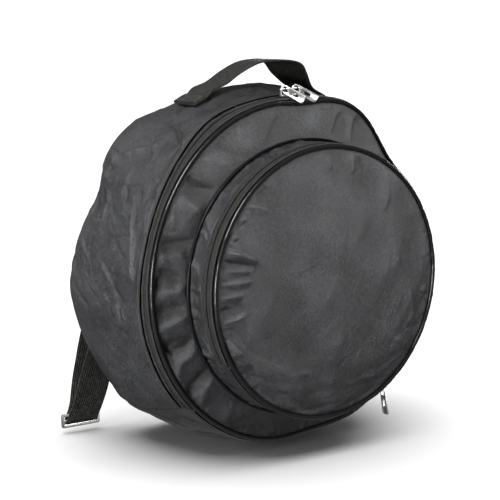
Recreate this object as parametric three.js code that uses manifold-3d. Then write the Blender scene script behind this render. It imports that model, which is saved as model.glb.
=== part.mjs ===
// A round nylon bag for a snare drum, standing on its rim: a zipped front panel with a round pocket,
// a webbing handle on top and two backpack straps behind. Millimetres, +Z up, front towards -Y.
// The origin is on the surface that the bag stands on, under the middle of the bag's depth.
// Angles are degrees round the bag from the top, clockwise seen from the front.
// Depths are measured back from the middle of the front piping.
import * as THREE from "three";
import { mergeGeometries, mergeVertices } from "three/addons/utils/BufferGeometryUtils.js";
import Module from "manifold-3d";

const wasm = await Module();
wasm.setup();

// Shell
const wallRadius = 179;
const bagDepth = 158;
const axisHeight = 183;
const backCorner = 14;
const clothThick = 1.6;
const seamGap = 0.4;
const ringSteps = 48;
const baseEnd = 135;
const backPush = 3;
const backFlatRadius = 125;
const backRestRadius = 82;

// Front panel, pushed forward where the pocket is sewn on
const frontPush = 11;

// Piping
const frontPipingRadius = 176;
const frontPipingThick = 5;
const pocketPipingRadius = 137;
const pocketPipingThick = 4.8;
const basePipingThick = 3;
const pipingSides = 6;

// Main zip
const tapeThick = 1.2;
const tapeRadius = 178.6;
const mainTapeStart = 2.9;
const mainCoilStart = 10.8;
const coilWide = 3.2;
const mainTapeEnd = 28.4;

// Pocket
const pocketRadius = 139.5;
const pocketDrop = 3.5;
const pocketDome = 5.7;
const pocketZipStart = -120;
const pocketZipEnd = 150;
const pocketGussetDeep = 22.5;
const pocketTapeWide = 7;

// Zip sliders and pulls
const sliderLong = 11;
const sliderWide = 7.2;
const sliderThick = 2.2;
const bridgeRise = 5.6;
const bridgeRod = 1.6;
const bridgePost = 2;
const sliderGap = 0.3;
const pullLong = 30.5;
const pullHalfWide = 4.5;
const pullThick = 1.6;
const eyeRadius = 2.6;
const eyeOutside = 3.9;
const eyeLong = 3.4;
const slotRadius = 1.6;
const slotSpan = [11.5, 17];
const mainSliderAngles = { left: -2.1, right: 2.3 };
const pocketSliderAngle = 147;
const pocketPullLean = 10;

// Webbing
const webThick = 1.8;
const handleWide = 40;
const handleThick = 2.4;
const handleDepth = 95;
const handleBend = { x: 54, reach: 17, skew: -0.5 };
const strapWide = 38.5;
const strapX = 159.5;
const strapLean = 0.2;
const strapCurve = 0.00018;
const strapBow = { out: 8, rise: 20 };
const slideWide = 46;
const slideBar = 3;
const slideThick = 2.6;
const slideFoot = 5;
const slideSlot = 3.2;
const slideOff = 18;
const strapSlack = 0.8;

const degree = Math.PI / 180;
const pocketBack = -frontPush - seamGap;

// Dents (-) and bulges (+) of the rim: the angle and depth of each, how many degrees and
// millimetres it spreads, and how far the cloth stands out.
const rimDents = [
  { name: "lifted by the handle", angle: -15, wide: 17, depth: 95, deep: 55, out: 6.5 },
  { name: "full top of the side", angle: 17, wide: 24, depth: 92, deep: 52, out: 12.5 },
  { name: "edge stands up by the pulls", angle: 22, wide: 13, depth: 8, deep: 32, out: 6 },
  { name: "shoulder at the back", angle: -43, wide: 14, depth: 150, deep: 46, out: 12.5 },
  { name: "tape stands up", angle: -30, wide: 13, depth: 28, deep: 22, out: 5 },
  { name: "hollow at the back", angle: -62, wide: 15, depth: 145, deep: 60, out: -10.7 },
  { name: "hollow along the tape", angle: -74, wide: 24, depth: 28, deep: 24, out: -7 },
  { name: "belly of the left side", angle: -100, wide: 20, depth: 140, deep: 50, out: 8.6 },
  { name: "corner at the lower left", angle: -131, wide: 13, depth: 100, deep: 55, out: 13 },
  { name: "sag at the lower left", angle: -157, wide: 34, depth: 92, deep: 58, out: 12 },
  { name: "sag at the lower right", angle: 152, wide: 34, depth: 92, deep: 58, out: 15 },
  { name: "front lifted off the floor", angle: 174, wide: 14, depth: 0, deep: 40, out: -6.4 },
  { name: "edge pushed in at the right", angle: 49, wide: 15, depth: 0, deep: 42, out: -13.3 },
  { name: "belly of the right side", angle: 95, wide: 24, depth: 110, deep: 50, out: 6 },
  { name: "edge under the pulls", angle: 2, wide: 9, depth: -2, deep: 7, out: -4 },
  { name: "slack top of the back", angle: 0, wide: 40, depth: 158, deep: 24, out: -5 },
];

// Folds of the front panel between its edge and the pocket, pushed in (+) or out (-).
const frontFolds = [
  { angle: -61, wide: 11, radius: 163, reach: 10, push: 4 },
  { angle: -14, wide: 10, radius: 154, reach: 11, push: 3.5 },
  { angle: 4, wide: 9, radius: 156, reach: 12, push: -2.5 },
  { angle: 20, wide: 9, radius: 156, reach: 11, push: 3.5 },
  { angle: 52, wide: 14, radius: 156, reach: 12, push: -3 },
  { angle: -92, wide: 12, radius: 158, reach: 12, push: -2.5 },
  { angle: -120, wide: 11, radius: 160, reach: 11, push: 4 },
  { angle: -152, wide: 13, radius: 158, reach: 12, push: -2.5 },
];

// Folds of the pocket's front, near its piping.
const pocketFolds = [
  { angle: -100, wide: 13, radius: 112, reach: 17, push: 2.5 },
  { angle: -52, wide: 12, radius: 112, reach: 15, push: 2 },
  { angle: 12, wide: 12, radius: 112, reach: 16, push: 2.2 },
  { angle: 118, wide: 14, radius: 110, reach: 17, push: 2.4 },
  { angle: -128, wide: 12, radius: 104, reach: 20, push: 2.6 },
];

function bump(offset, reach) {
  return Math.exp(-((offset / reach) ** 2));
}

function turnBetween(angle, other) {
  return ((((angle - other) % 360) + 540) % 360) - 180;
}

// How far the rim stands out from a true cylinder.
function rimOut(angle, depth) {
  let out = 0;
  for (const dent of rimDents) {
    const spread = bump(turnBetween(angle, dent.angle), dent.wide);
    out += dent.out * spread * bump(depth - dent.depth, dent.deep);
  }
  return out;
}

function foldPush(folds, angle, radius) {
  let push = 0;
  for (const fold of folds) {
    const spread = bump(turnBetween(angle, fold.angle), fold.wide);
    push += fold.push * spread * bump(radius - fold.radius, fold.reach);
  }
  return push;
}

// A place on the wall or a panel: dented fully at the rim, not at all at a panel's flat middle,
// and flattened where the cloth meets the floor.
function bagPlace(angle, radius, depth) {
  const share = THREE.MathUtils.smoothstep(radius, backFlatRadius, wallRadius - backCorner);
  const reach = radius + share * rimOut(angle, depth);
  const height = axisHeight + reach * Math.cos(angle * degree);
  const floor = wallRadius - radius;
  return new THREE.Vector3(reach * Math.sin(angle * degree), depth, Math.max(height, floor));
}

function frontPanelPlace(angle, radius, depth) {
  const place = bagPlace(angle, radius, depth);
  const clear = THREE.MathUtils.smoothstep(radius, pocketRadius + 3, pocketRadius + 14);
  place.y += clear * foldPush(frontFolds, angle, radius);
  return place;
}

function pocketPlace(angle, radius, depth) {
  const height = axisHeight - pocketDrop + radius * Math.cos(angle * degree);
  return new THREE.Vector3(radius * Math.sin(angle * degree), depth, height);
}

function pocketFrontPlace(angle, radius, depth) {
  const place = pocketPlace(angle, radius, depth);
  place.y += foldPush(pocketFolds, angle, radius);
  return place;
}

// Moves each point of a shape that was turned round the Y axis to its place on the bag.
function formed(geometry, place) {
  geometry.deleteAttribute("normal");
  geometry.deleteAttribute("uv");
  const points = geometry.getAttribute("position");
  for (let i = 0; i < points.count; i++) {
    const point = new THREE.Vector3().fromBufferAttribute(points, i);
    const angle = Math.atan2(point.x, point.z) / degree;
    const spot = place(angle, Math.hypot(point.x, point.z), point.y);
    points.setXYZ(i, spot.x, spot.y, spot.z);
  }
  return geometry;
}

// A whole ring or a panel, from its closed profile of radius and depth.
function turned(profile, place) {
  return formed(new THREE.LatheGeometry(profile, ringSteps), place);
}

function reversed(geometry) {
  const order = geometry.index.array;
  for (let i = 0; i < order.length; i += 3) {
    [order[i + 1], order[i + 2]] = [order[i + 2], order[i + 1]];
  }
  return geometry;
}

// Part of a ring between two angles, closed at both ends. The trim leaves the seam's gap.
function turnedPart(profile, from, to, place) {
  const trim = seamGap / wallRadius;
  const start = from * degree + trim;
  const length = (to - from) * degree - 2 * trim;
  const steps = Math.round(((to - from) / 360) * ringSteps);
  const band = new THREE.LatheGeometry(profile, steps, start, length);
  const outline = new THREE.Shape(profile.slice(0, -1));
  const firstEnd = new THREE.ShapeGeometry(outline).rotateY(start - Math.PI / 2);
  const lastEnd = reversed(new THREE.ShapeGeometry(outline).rotateY(start + length - Math.PI / 2));
  return formed(mergeGeometries([band, firstEnd, lastEnd]), place);
}

function loop(points) {
  return [...points, points[0]].map((point) => new THREE.Vector2(point[0], point[1]));
}

// The closed profile of a cloth wall from the radius and depth of its outer face, front to back.
function wallProfile(outer, thick) {
  const inner = outer.map((point, i) => {
    const before = outer[Math.max(i - 1, 0)];
    const after = outer[Math.min(i + 1, outer.length - 1)];
    const run = new THREE.Vector2(after[0] - before[0], after[1] - before[1]).normalize();
    return [point[0] - run.y * thick, point[1] + run.x * thick];
  });
  return loop([...outer, ...inner.reverse()]);
}

// The profile of a panel from the radius and depth of the face nearer the front, middle to edge.
function panelProfile(face, thick) {
  const behind = face.map((point) => [point[0], point[1] + thick]).reverse();
  return [...face, ...behind].map((point) => new THREE.Vector2(point[0], point[1]));
}

function pipingProfile(radius, depth, thick) {
  const points = [];
  for (let i = 0; i < pipingSides; i++) {
    const turn = (i / pipingSides) * 2 * Math.PI;
    points.push([radius + (thick / 2) * Math.cos(turn), depth + (thick / 2) * Math.sin(turn)]);
  }
  return loop(points);
}

function tapeProfile(radius, from, to) {
  return wallProfile([[radius, from], [radius, to]], tapeThick);
}

const cloth = { color: 0x26282c, roughness: 0.78, metalness: 0 };
const piping = { color: 0x17181a, roughness: 0.35, metalness: 0 };
const tape = { color: 0x2a2b29, roughness: 0.85, metalness: 0 };
const coil = { color: 0x1a1b1b, roughness: 0.5, metalness: 0 };
const webbing = { color: 0x2b2c2a, roughness: 0.8, metalness: 0 };
const nickel = { color: 0xc9cacc, roughness: 0.25, metalness: 1 };

const bag = new THREE.Group();
bag.position.y = -bagDepth / 2;

function addPiece(name, geometry, finish, parent = bag) {
  const piece = new THREE.Mesh(geometry, new THREE.MeshStandardMaterial(finish));
  piece.name = name;
  parent.add(piece);
  return piece;
}

// Shell
function wallFace(firstDepth, middleDepths) {
  const cornerMiddle = bagDepth - backCorner;
  const face = [firstDepth, ...middleDepths, cornerMiddle].map((depth) => [wallRadius, depth]);
  for (const turn of [30, 60, 90]) {
    const sink = backCorner * (1 - Math.cos(turn * degree));
    face.push([wallRadius - sink, cornerMiddle + backCorner * Math.sin(turn * degree)]);
  }
  return face;
}

const sideFace = wallFace(mainTapeEnd + seamGap, [45, 65, 90, 115, 132]);
const baseFace = wallFace(mainTapeStart, [14, 30, 45, 65, 90, 115, 132]);
const sideProfile = wallProfile(sideFace, clothThick);
const baseProfile = wallProfile(baseFace, clothThick);
addPiece("side_wall", turnedPart(sideProfile, -baseEnd, baseEnd, bagPlace), cloth);
addPiece("base_gusset", turnedPart(baseProfile, baseEnd, 360 - baseEnd, bagPlace), cloth);

const backEdge = wallRadius - backCorner - clothThick / 2;
const backFace = [
  [0, backPush],
  [backRestRadius, backPush],
  [backFlatRadius, backPush * 0.97],
  [150, backPush * 0.65],
  [backEdge, 0],
].map(([radius, push]) => [radius, bagDepth + push - clothThick]);
addPiece("back_panel", turned(panelProfile(backFace, clothThick), bagPlace), cloth);

const frontEdge = frontPipingRadius - frontPipingThick / 2 - seamGap;
const frontFace = [
  [0, 1],
  [120, 1],
  [140, 1],
  [150, 0.72],
  [161, 0.32],
  [frontEdge, 0],
].map(([radius, push]) => [radius, -frontPush * push]);
addPiece("front_panel", turned(panelProfile(frontFace, clothThick), frontPanelPlace), cloth);

const frontRing = pipingProfile(frontPipingRadius, 0, frontPipingThick);
addPiece("front_piping", turned(frontRing, bagPlace), piping);

// Main zip
const mainCoilEnd = mainCoilStart + coilWide;
const mainFrontTape = tapeProfile(tapeRadius, mainTapeStart, mainCoilStart - seamGap);
const mainCoil = wallProfile([[tapeRadius, mainCoilStart], [tapeRadius, mainCoilEnd]], tapeThick + 1);
const mainRearTape = tapeProfile(tapeRadius, mainCoilEnd + seamGap, mainTapeEnd);
addPiece("main_zip_tape_front", turnedPart(mainFrontTape, -baseEnd, baseEnd, bagPlace), tape);
addPiece("main_zip_coil", turnedPart(mainCoil, -baseEnd, baseEnd, bagPlace), coil);
addPiece("main_zip_tape_rear", turnedPart(mainRearTape, -baseEnd, baseEnd, bagPlace), tape);

// Pocket
const gussetFront = pocketBack - pocketGussetDeep;
const rearTapeFront = gussetFront - seamGap - pocketTapeWide;
const pocketCoilFront = rearTapeFront - seamGap - coilWide;
const frontTapeFront = pocketCoilFront - seamGap - pocketTapeWide;
const gussetDepths = [gussetFront, (gussetFront + pocketBack) / 2, pocketBack];
const gussetFace = gussetDepths.map((depth) => [pocketRadius, depth]);
addPiece("pocket_gusset", turned(wallProfile(gussetFace, clothThick), pocketPlace), cloth);

const basePipingRadius = pocketRadius + seamGap + basePipingThick / 2;
const basePipingDepth = pocketBack - basePipingThick / 2;
const baseRing = pipingProfile(basePipingRadius, basePipingDepth, basePipingThick);
addPiece("pocket_base_piping", turned(baseRing, pocketPlace), piping);

function pocketBand(name, front, back, thick, finish, from, to) {
  const profile = wallProfile([[pocketRadius, front], [pocketRadius, back]], thick);
  addPiece(name, turnedPart(profile, from, to, pocketPlace), finish);
}

const zipSpan = [pocketZipStart, pocketZipEnd];
const rearTapeBack = gussetFront - seamGap;
const coilBack = rearTapeFront - seamGap;
const frontTapeBack = pocketCoilFront - seamGap;
pocketBand("pocket_zip_tape_rear", rearTapeFront, rearTapeBack, tapeThick, tape, ...zipSpan);
pocketBand("pocket_zip_coil", pocketCoilFront, coilBack, tapeThick + 1, coil, ...zipSpan);
pocketBand("pocket_zip_tape_front", frontTapeFront, frontTapeBack, tapeThick, tape, ...zipSpan);
const stayEnd = 360 + pocketZipStart;
pocketBand("pocket_zip_stay", frontTapeFront, rearTapeBack, clothThick, cloth, pocketZipEnd, stayEnd);

const pocketPipingDepth = frontTapeFront - seamGap - pocketPipingThick / 2;
const pocketRing = pipingProfile(pocketPipingRadius, pocketPipingDepth, pocketPipingThick);
addPiece("pocket_piping", turned(pocketRing, pocketPlace), piping);

const pocketEdge = pocketPipingRadius - pocketPipingThick / 2 - seamGap;
const pocketFace = [
  [0, 1],
  [60, 0.92],
  [98, 0.68],
  [118, 0.4],
  [pocketEdge, 0],
].map(([radius, dome]) => [radius, pocketPipingDepth - pocketDome * dome]);
addPiece("pocket_front", turned(panelProfile(pocketFace, clothThick), pocketFrontPlace), cloth);

// Sliders and pulls
function solid(geometry) {
  const bare = geometry.clone();
  bare.deleteAttribute("normal");
  bare.deleteAttribute("uv");
  const merged = mergeVertices(bare, 1e-4);
  const vertProperties = merged.getAttribute("position").array;
  const triVerts = new Uint32Array(merged.index.array);
  return new wasm.Manifold(new wasm.Mesh({ numProp: 3, vertProperties, triVerts }));
}

function joined(geometries) {
  const mesh = geometries.map(solid).reduce((sum, next) => sum.add(next)).getMesh();
  const geometry = new THREE.BufferGeometry();
  geometry.setAttribute("position", new THREE.BufferAttribute(mesh.vertProperties, 3));
  geometry.setIndex(new THREE.BufferAttribute(mesh.triVerts, 1));
  return geometry;
}

function plateGeometry(outline, thick) {
  return new THREE.ExtrudeGeometry(outline, { depth: thick, bevelEnabled: false, curveSegments: 6 });
}

// A slider: a shield-shaped body with a bridge that the pull hangs on.
// Local X runs along the zip, Y across it and Z outwards, with the body's underside at zero.
function sliderGeometry() {
  const half = sliderLong / 2;
  const wide = sliderWide / 2;
  const shield = new THREE.Shape();
  shield.moveTo(-half, -wide * 0.6);
  shield.lineTo(half * 0.3, -wide);
  shield.quadraticCurveTo(half, -wide, half, -wide * 0.5);
  shield.lineTo(half, wide * 0.5);
  shield.quadraticCurveTo(half, wide, half * 0.3, wide);
  shield.lineTo(-half, wide * 0.6);
  const body = plateGeometry(shield, sliderThick);

  const rodTop = bridgeRise + bridgeRod / 2;
  const arch = new THREE.Shape();
  arch.moveTo(-half, -0.5);
  arch.lineTo(half, -0.5);
  arch.lineTo(half, rodTop - 1);
  arch.lineTo(half - 1, rodTop);
  arch.lineTo(1 - half, rodTop);
  arch.lineTo(-half, rodTop - 1);
  const opening = new THREE.Path();
  const inside = half - bridgePost;
  opening.moveTo(-inside, 0.2);
  opening.lineTo(inside, 0.2);
  opening.lineTo(inside, rodTop - bridgeRod);
  opening.lineTo(-inside, rodTop - bridgeRod);
  arch.holes.push(opening);
  const bridge = plateGeometry(arch, bridgeRod);
  bridge.translate(0, 0, -bridgeRod / 2);
  bridge.rotateX(Math.PI / 2);
  bridge.translate(0, 0, sliderThick);
  return joined([body, bridge]);
}

// A pull: a plate with an eye that starts round the origin, and a slot, its length along local X.
function pullGeometry() {
  const end = pullLong - eyeOutside;
  const corner = 2;
  const plate = new THREE.Shape();
  plate.absarc(0, 0, eyeOutside, Math.PI / 2, (3 * Math.PI) / 2, false);
  plate.lineTo(end - corner, -pullHalfWide);
  plate.quadraticCurveTo(end, -pullHalfWide, end, corner - pullHalfWide);
  plate.lineTo(end, pullHalfWide - corner);
  plate.quadraticCurveTo(end, pullHalfWide, end - corner, pullHalfWide);
  for (const [from, to, radius] of [[0, eyeLong, eyeRadius], [...slotSpan, slotRadius]]) {
    const hole = new THREE.Path();
    hole.absarc(to, 0, radius, -Math.PI / 2, Math.PI / 2, false);
    hole.absarc(from, 0, radius, Math.PI / 2, (3 * Math.PI) / 2, false);
    plate.holes.push(hole);
  }
  const metal = plateGeometry(plate, pullThick);
  return metal.translate(0, 0, -pullThick / 2);
}

// A group standing on a zip: X along the zip, Y towards the back, Z outwards.
function zipGroup(place, angle, depth, radius) {
  const group = new THREE.Group();
  const spot = place(angle, radius, depth);
  const along = new THREE.Vector3(Math.cos(angle * degree), 0, -Math.sin(angle * degree));
  const out = new THREE.Vector3(Math.sin(angle * degree), 0, Math.cos(angle * degree));
  const back = new THREE.Vector3(0, 1, 0);
  group.quaternion.setFromRotationMatrix(new THREE.Matrix4().makeBasis(along, back, out));
  group.position.copy(spot);
  bag.add(group);
  return group;
}

// Turns a pull so that its length points along one direction and its face towards another.
function aimPull(pull, length, face) {
  const x = length.clone().normalize();
  const z = face.clone().addScaledVector(x, -face.dot(x)).normalize();
  const y = new THREE.Vector3().crossVectors(z, x);
  pull.quaternion.setFromRotationMatrix(new THREE.Matrix4().makeBasis(x, y, z));
  return x;
}

const bridgeHeight = sliderThick + bridgeRise;
const hang = 0.4;
const mainCoilMiddle = mainCoilStart + coilWide / 2;
const mainPullLays = {
  left: { along: new THREE.Vector3(7, -21, -10), face: new THREE.Vector3(-0.8, -0.42, 0.43) },
  right: { along: new THREE.Vector3(10, -20, -9.5), face: new THREE.Vector3(-0.82, -0.2, 0.54) },
};
for (const side of ["left", "right"]) {
  const seat = zipGroup(bagPlace, mainSliderAngles[side], mainCoilMiddle, tapeRadius + sliderGap);
  addPiece("main_slider_" + side, sliderGeometry(), nickel, seat);
  const pull = addPiece("main_pull_" + side, pullGeometry(), nickel, seat);
  const lay = aimPull(pull, mainPullLays[side].along, mainPullLays[side].face);
  pull.position.set(0, 0, bridgeHeight).addScaledVector(lay, hang);
}

const pocketCoilMiddle = pocketCoilFront + coilWide / 2;
const pocketSeat = zipGroup(pocketPlace, pocketSliderAngle, pocketCoilMiddle, pocketRadius + sliderGap);
addPiece("pocket_slider", sliderGeometry(), nickel, pocketSeat);
const pocketPull = addPiece("pocket_pull", pullGeometry(), nickel, pocketSeat);
const lean = pocketPullLean * degree;
const pocketFall = new THREE.Vector3(Math.sin(lean), 0, -Math.cos(lean));
pocketFall.applyQuaternion(pocketSeat.quaternion.clone().invert());
const pocketHang = aimPull(pocketPull, pocketFall, new THREE.Vector3(1, 0, 0));
const eyeBar = (eyeOutside + eyeRadius) / 2;
const eyeBarReach = Math.hypot((eyeOutside - eyeRadius) / 2, pullThick / 2);
const underBridge = bridgeHeight - bridgeRod / 2 - sliderGap - eyeBarReach;
pocketPull.position.set(0, 0, underBridge).addScaledVector(pocketHang, eyeBar);

// Webbing: the side view of a band along a route, drawn out to the band's width.
function webbingGeometry(route, wide, thick) {
  const sides = [[], []];
  route.forEach((point, i) => {
    const before = route[Math.max(i - 1, 0)];
    const after = route[Math.min(i + 1, route.length - 1)];
    const run = after.clone().sub(before).normalize();
    const across = new THREE.Vector2(-run.y, run.x).multiplyScalar(thick / 2);
    sides[0].push(point.clone().sub(across));
    sides[1].unshift(point.clone().add(across));
  });
  const outline = new THREE.Shape([...sides[0], ...sides[1]]);
  const band = new THREE.ExtrudeGeometry(outline, { depth: wide, bevelEnabled: false });
  return band.translate(0, 0, -wide / 2);
}

// Handle, its route in X and Z: both ends lie on the wall.
function onWall(angle, rise) {
  const spot = bagPlace(angle, wallRadius, handleDepth);
  const out = new THREE.Vector2(Math.sin(angle * degree), Math.cos(angle * degree));
  return new THREE.Vector2(spot.x, spot.z).addScaledVector(out, rise);
}

const footRise = handleThick / 2 + seamGap;
const handleRoute = [
  ...[-23.5, -21, -18.5].map((angle) => onWall(angle, footRise)),
  onWall(-15.5, footRise + 3.5),
  new THREE.Vector2(-35, 374),
  new THREE.Vector2(-16, 385),
  new THREE.Vector2(8, 394.5),
  new THREE.Vector2(36, 396),
  new THREE.Vector2(51, 392),
  new THREE.Vector2(60, 381),
  new THREE.Vector2(74, 366),
  onWall(28.5, footRise + 6),
  ...[31.5, 34.5, 37.5].map((angle) => onWall(angle, footRise)),
];
const handlePoints = new THREE.SplineCurve(handleRoute).getPoints(36);
const handleBand = webbingGeometry(handlePoints, handleWide, handleThick);
handleBand.rotateX(Math.PI / 2).translate(0, handleDepth, 0);
const handleVertices = handleBand.getAttribute("position");
for (let i = 0; i < handleVertices.count; i++) {
  const x = handleVertices.getX(i);
  const aside = handleVertices.getY(i) - handleDepth;
  handleVertices.setX(i, x + handleBend.skew * aside * bump(x - handleBend.x, handleBend.reach));
}
addPiece("top_handle", handleBand, webbing);

// Backpack straps, their route in height and distance behind the back panel: from the upper end
// sewn on the panel, down round the middle bar of the slide, and up to the lower end on the panel.
const backFaceDepth = bagDepth + backPush;
const sewnOff = webThick / 2 + seamGap;
const slideMiddle = slideFoot + slideBar * 1.5 + slideSlot;
const wrap = slideThick / 2 + seamGap + webThick / 2;
const strapUpper = [
  new THREE.Vector2(sewnOff, 312),
  new THREE.Vector2(sewnOff, 290),
  new THREE.Vector2(9, 258),
  new THREE.Vector2(20, 205),
  new THREE.Vector2(27, 145),
  new THREE.Vector2(30, 85),
  new THREE.Vector2(27, 50),
  new THREE.Vector2(slideOff + wrap + 0.8, 31),
  new THREE.Vector2(slideOff + wrap, slideMiddle + 6),
];
const strapLower = [
  new THREE.Vector2(slideOff - wrap, slideMiddle + 6),
  new THREE.Vector2(slideOff - wrap - 0.8, 34),
  new THREE.Vector2(13, 62),
  new THREE.Vector2(8, 92),
  new THREE.Vector2(3, 112),
  new THREE.Vector2(sewnOff, 126),
  new THREE.Vector2(sewnOff, 140),
];
const strapTurn = [0, 30, 60, 90, 120, 150, 180].map((turn) => {
  const sink = wrap * Math.sin(turn * degree);
  return new THREE.Vector2(slideOff + wrap * Math.cos(turn * degree), slideMiddle - strapSlack - sink);
});
const strapRoute = [
  ...new THREE.SplineCurve(strapUpper).getPoints(20),
  ...strapTurn,
  ...new THREE.SplineCurve(strapLower).getPoints(14),
];

// Leans a strap towards the middle of the back as it goes up.
function leanStrap(geometry, side) {
  const points = geometry.getAttribute("position");
  for (let i = 0; i < points.count; i++) {
    const rise = Math.max(points.getZ(i) - slideMiddle, 0);
    const bow = strapBow.out * (1 - Math.exp(-rise / strapBow.rise));
    const middle = bow - strapX + strapLean * rise + strapCurve * rise ** 2;
    points.setX(i, points.getX(i) - side * middle);
  }
  return geometry;
}

// The slide: a metal frame with three bars and two slots, upright.
function slideGeometry() {
  const high = 3 * slideBar + 2 * slideSlot;
  const half = slideWide / 2;
  const corner = 2.5;
  const frame = new THREE.Shape();
  frame.moveTo(corner - half, 0);
  frame.lineTo(half - corner, 0);
  frame.quadraticCurveTo(half, 0, half, corner);
  frame.lineTo(half, high - corner);
  frame.quadraticCurveTo(half, high, half - corner, high);
  frame.lineTo(corner - half, high);
  frame.quadraticCurveTo(-half, high, -half, high - corner);
  frame.lineTo(-half, corner);
  frame.quadraticCurveTo(-half, 0, corner - half, 0);
  for (const foot of [slideBar, 2 * slideBar + slideSlot]) {
    const slot = new THREE.Path();
    slot.moveTo(slideBar - half, foot);
    slot.lineTo(half - slideBar, foot);
    slot.lineTo(half - slideBar, foot + slideSlot);
    slot.lineTo(slideBar - half, foot + slideSlot);
    frame.holes.push(slot);
  }
  const metal = plateGeometry(frame, slideThick);
  return metal.translate(0, 0, -slideThick / 2).rotateX(Math.PI / 2);
}

for (const [name, side] of [["left", -1], ["right", 1]]) {
  const band = webbingGeometry(strapRoute, strapWide, webThick);
  band.rotateY(Math.PI / 2).rotateX(Math.PI / 2).translate(0, backFaceDepth, 0);
  addPiece("strap_" + name, leanStrap(band, side), webbing);
  const slide = addPiece("strap_slide_" + name, slideGeometry(), nickel);
  slide.position.set(side * strapX, backFaceDepth + slideOff, slideFoot);
}

const drumBag = new THREE.Group();
drumBag.add(bag);

export default drumBag;
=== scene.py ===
import math
import bpy
import numpy as np
from mathutils import Matrix, Vector


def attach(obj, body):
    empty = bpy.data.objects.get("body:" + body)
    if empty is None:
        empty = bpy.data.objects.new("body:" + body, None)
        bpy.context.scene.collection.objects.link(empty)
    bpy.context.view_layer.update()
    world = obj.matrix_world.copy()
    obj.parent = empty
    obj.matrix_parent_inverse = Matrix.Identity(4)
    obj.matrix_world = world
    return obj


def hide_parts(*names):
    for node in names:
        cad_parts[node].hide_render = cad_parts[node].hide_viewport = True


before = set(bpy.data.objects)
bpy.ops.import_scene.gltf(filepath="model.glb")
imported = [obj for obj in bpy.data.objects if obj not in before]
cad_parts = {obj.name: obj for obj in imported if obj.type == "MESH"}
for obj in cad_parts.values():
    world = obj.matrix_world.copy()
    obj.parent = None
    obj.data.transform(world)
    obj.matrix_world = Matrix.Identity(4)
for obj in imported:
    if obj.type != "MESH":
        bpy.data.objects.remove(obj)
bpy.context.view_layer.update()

mm = 0.001
fullTurn = 6.28  # range of the phases of ripples and puckers
print("frame loaded:", len(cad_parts), "nodes")

# camera, at the angle that the bag is seen from
cameraView = {"target": (0, -0.079, 0.183), "azimuth": -36.45, "elevation": 10.3, "distance": 1.6,
              "lens": 111.74, "turnLeft": 1.735, "turnUp": 0.812}


def addCamera(view):
    azimuth, elevation = math.radians(view["azimuth"]), math.radians(view["elevation"])
    level = math.cos(elevation)
    back = Vector((math.sin(azimuth) * level, -math.cos(azimuth) * level, math.sin(elevation)))
    aim = (-back).to_track_quat("-Z", "Y").to_matrix()
    turnLeft, turnUp = math.radians(view["turnLeft"]), math.radians(view["turnUp"])
    turn = Matrix.Rotation(turnLeft, 3, "Y") @ Matrix.Rotation(turnUp, 3, "X")
    place = Vector(view["target"]) + back * view["distance"]
    bpy.ops.object.camera_add(location=place, rotation=(aim @ turn).to_euler())
    camera = bpy.context.object
    camera.data.lens = view["lens"]
    bpy.context.scene.camera = camera


bpy.ops.object.select_all(action="DESELECT")
addCamera(cameraView)
print("camera placed")


# shader sockets as values: sums and products of them add Math nodes
class Shade:
    def __init__(self, tree, socket):
        self.tree = tree
        self.socket = socket

    def node(self, kind, settings=None, sockets=None, out=0):
        made = self.tree.nodes.new(kind)
        for key, value in (settings or {}).items():
            setattr(made, key, value)
        for key, value in (sockets or {}).items():
            if isinstance(value, Shade):
                self.tree.links.new(value.socket, made.inputs[key])
            else:
                made.inputs[key].default_value = value
        return Shade(self.tree, made.outputs[out])

    def also(self, out):
        return Shade(self.tree, self.socket.node.outputs[out])

    def maths(self, operation, *values):
        return self.node("ShaderNodeMath", {"operation": operation}, dict(enumerate(values)))

    def __add__(self, other):
        return self.maths("ADD", self, other)

    def __radd__(self, other):
        return self.maths("ADD", other, self)

    def __sub__(self, other):
        return self.maths("SUBTRACT", self, other)

    def __rsub__(self, other):
        return self.maths("SUBTRACT", other, self)

    def __mul__(self, other):
        return self.maths("MULTIPLY", self, other)

    def __rmul__(self, other):
        return self.maths("MULTIPLY", other, self)

    def __abs__(self):
        return self.maths("ABSOLUTE", self)

    def sine(self):
        return self.maths("SINE", self)

    def within(self, low, high):
        return self.node("ShaderNodeClamp", None, {"Value": self, "Min": low, "Max": high})

    def between(self, look):
        return self.node("ShaderNodeMix", {"data_type": "RGBA"}, {0: self, 6: look["dark"], 7: look["light"]}, 2)

    def attribute(self, name):
        return self.node("ShaderNodeAttribute", {"attribute_name": name}, None, "Fac")

    def noise(self, vector, scale, detail=3.0):
        sockets = {"Vector": vector, "Scale": scale, "Detail": detail, "Roughness": 0.55}
        return self.node("ShaderNodeTexNoise", None, sockets)

    def bump(self, strength, distance):
        return self.node("ShaderNodeBump", None, {"Height": self, "Strength": strength, "Distance": distance})


def makeMaterial(name, finish, paint):
    material = bpy.data.materials.new(name)
    material.use_nodes = True
    tree = material.node_tree
    shader = tree.nodes["Principled BSDF"]
    for key, value in finish.items():
        shader.inputs[key].default_value = value
    start = Shade(tree, shader.outputs[0])
    for key, value in paint(start).items():
        tree.links.new(value.socket, shader.inputs[key])
    return material


def alongAcross(start):
    parts = start.node("ShaderNodeSeparateXYZ", None, {0: start.node("ShaderNodeTexCoord", None, None, "UV")})
    return parts, parts.also("Y")


def inObject(start):
    return start.node("ShaderNodeTexCoord", None, None, "Object")


def perTurn(pitch):
    return 2 * math.pi / (pitch * mm)


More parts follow.
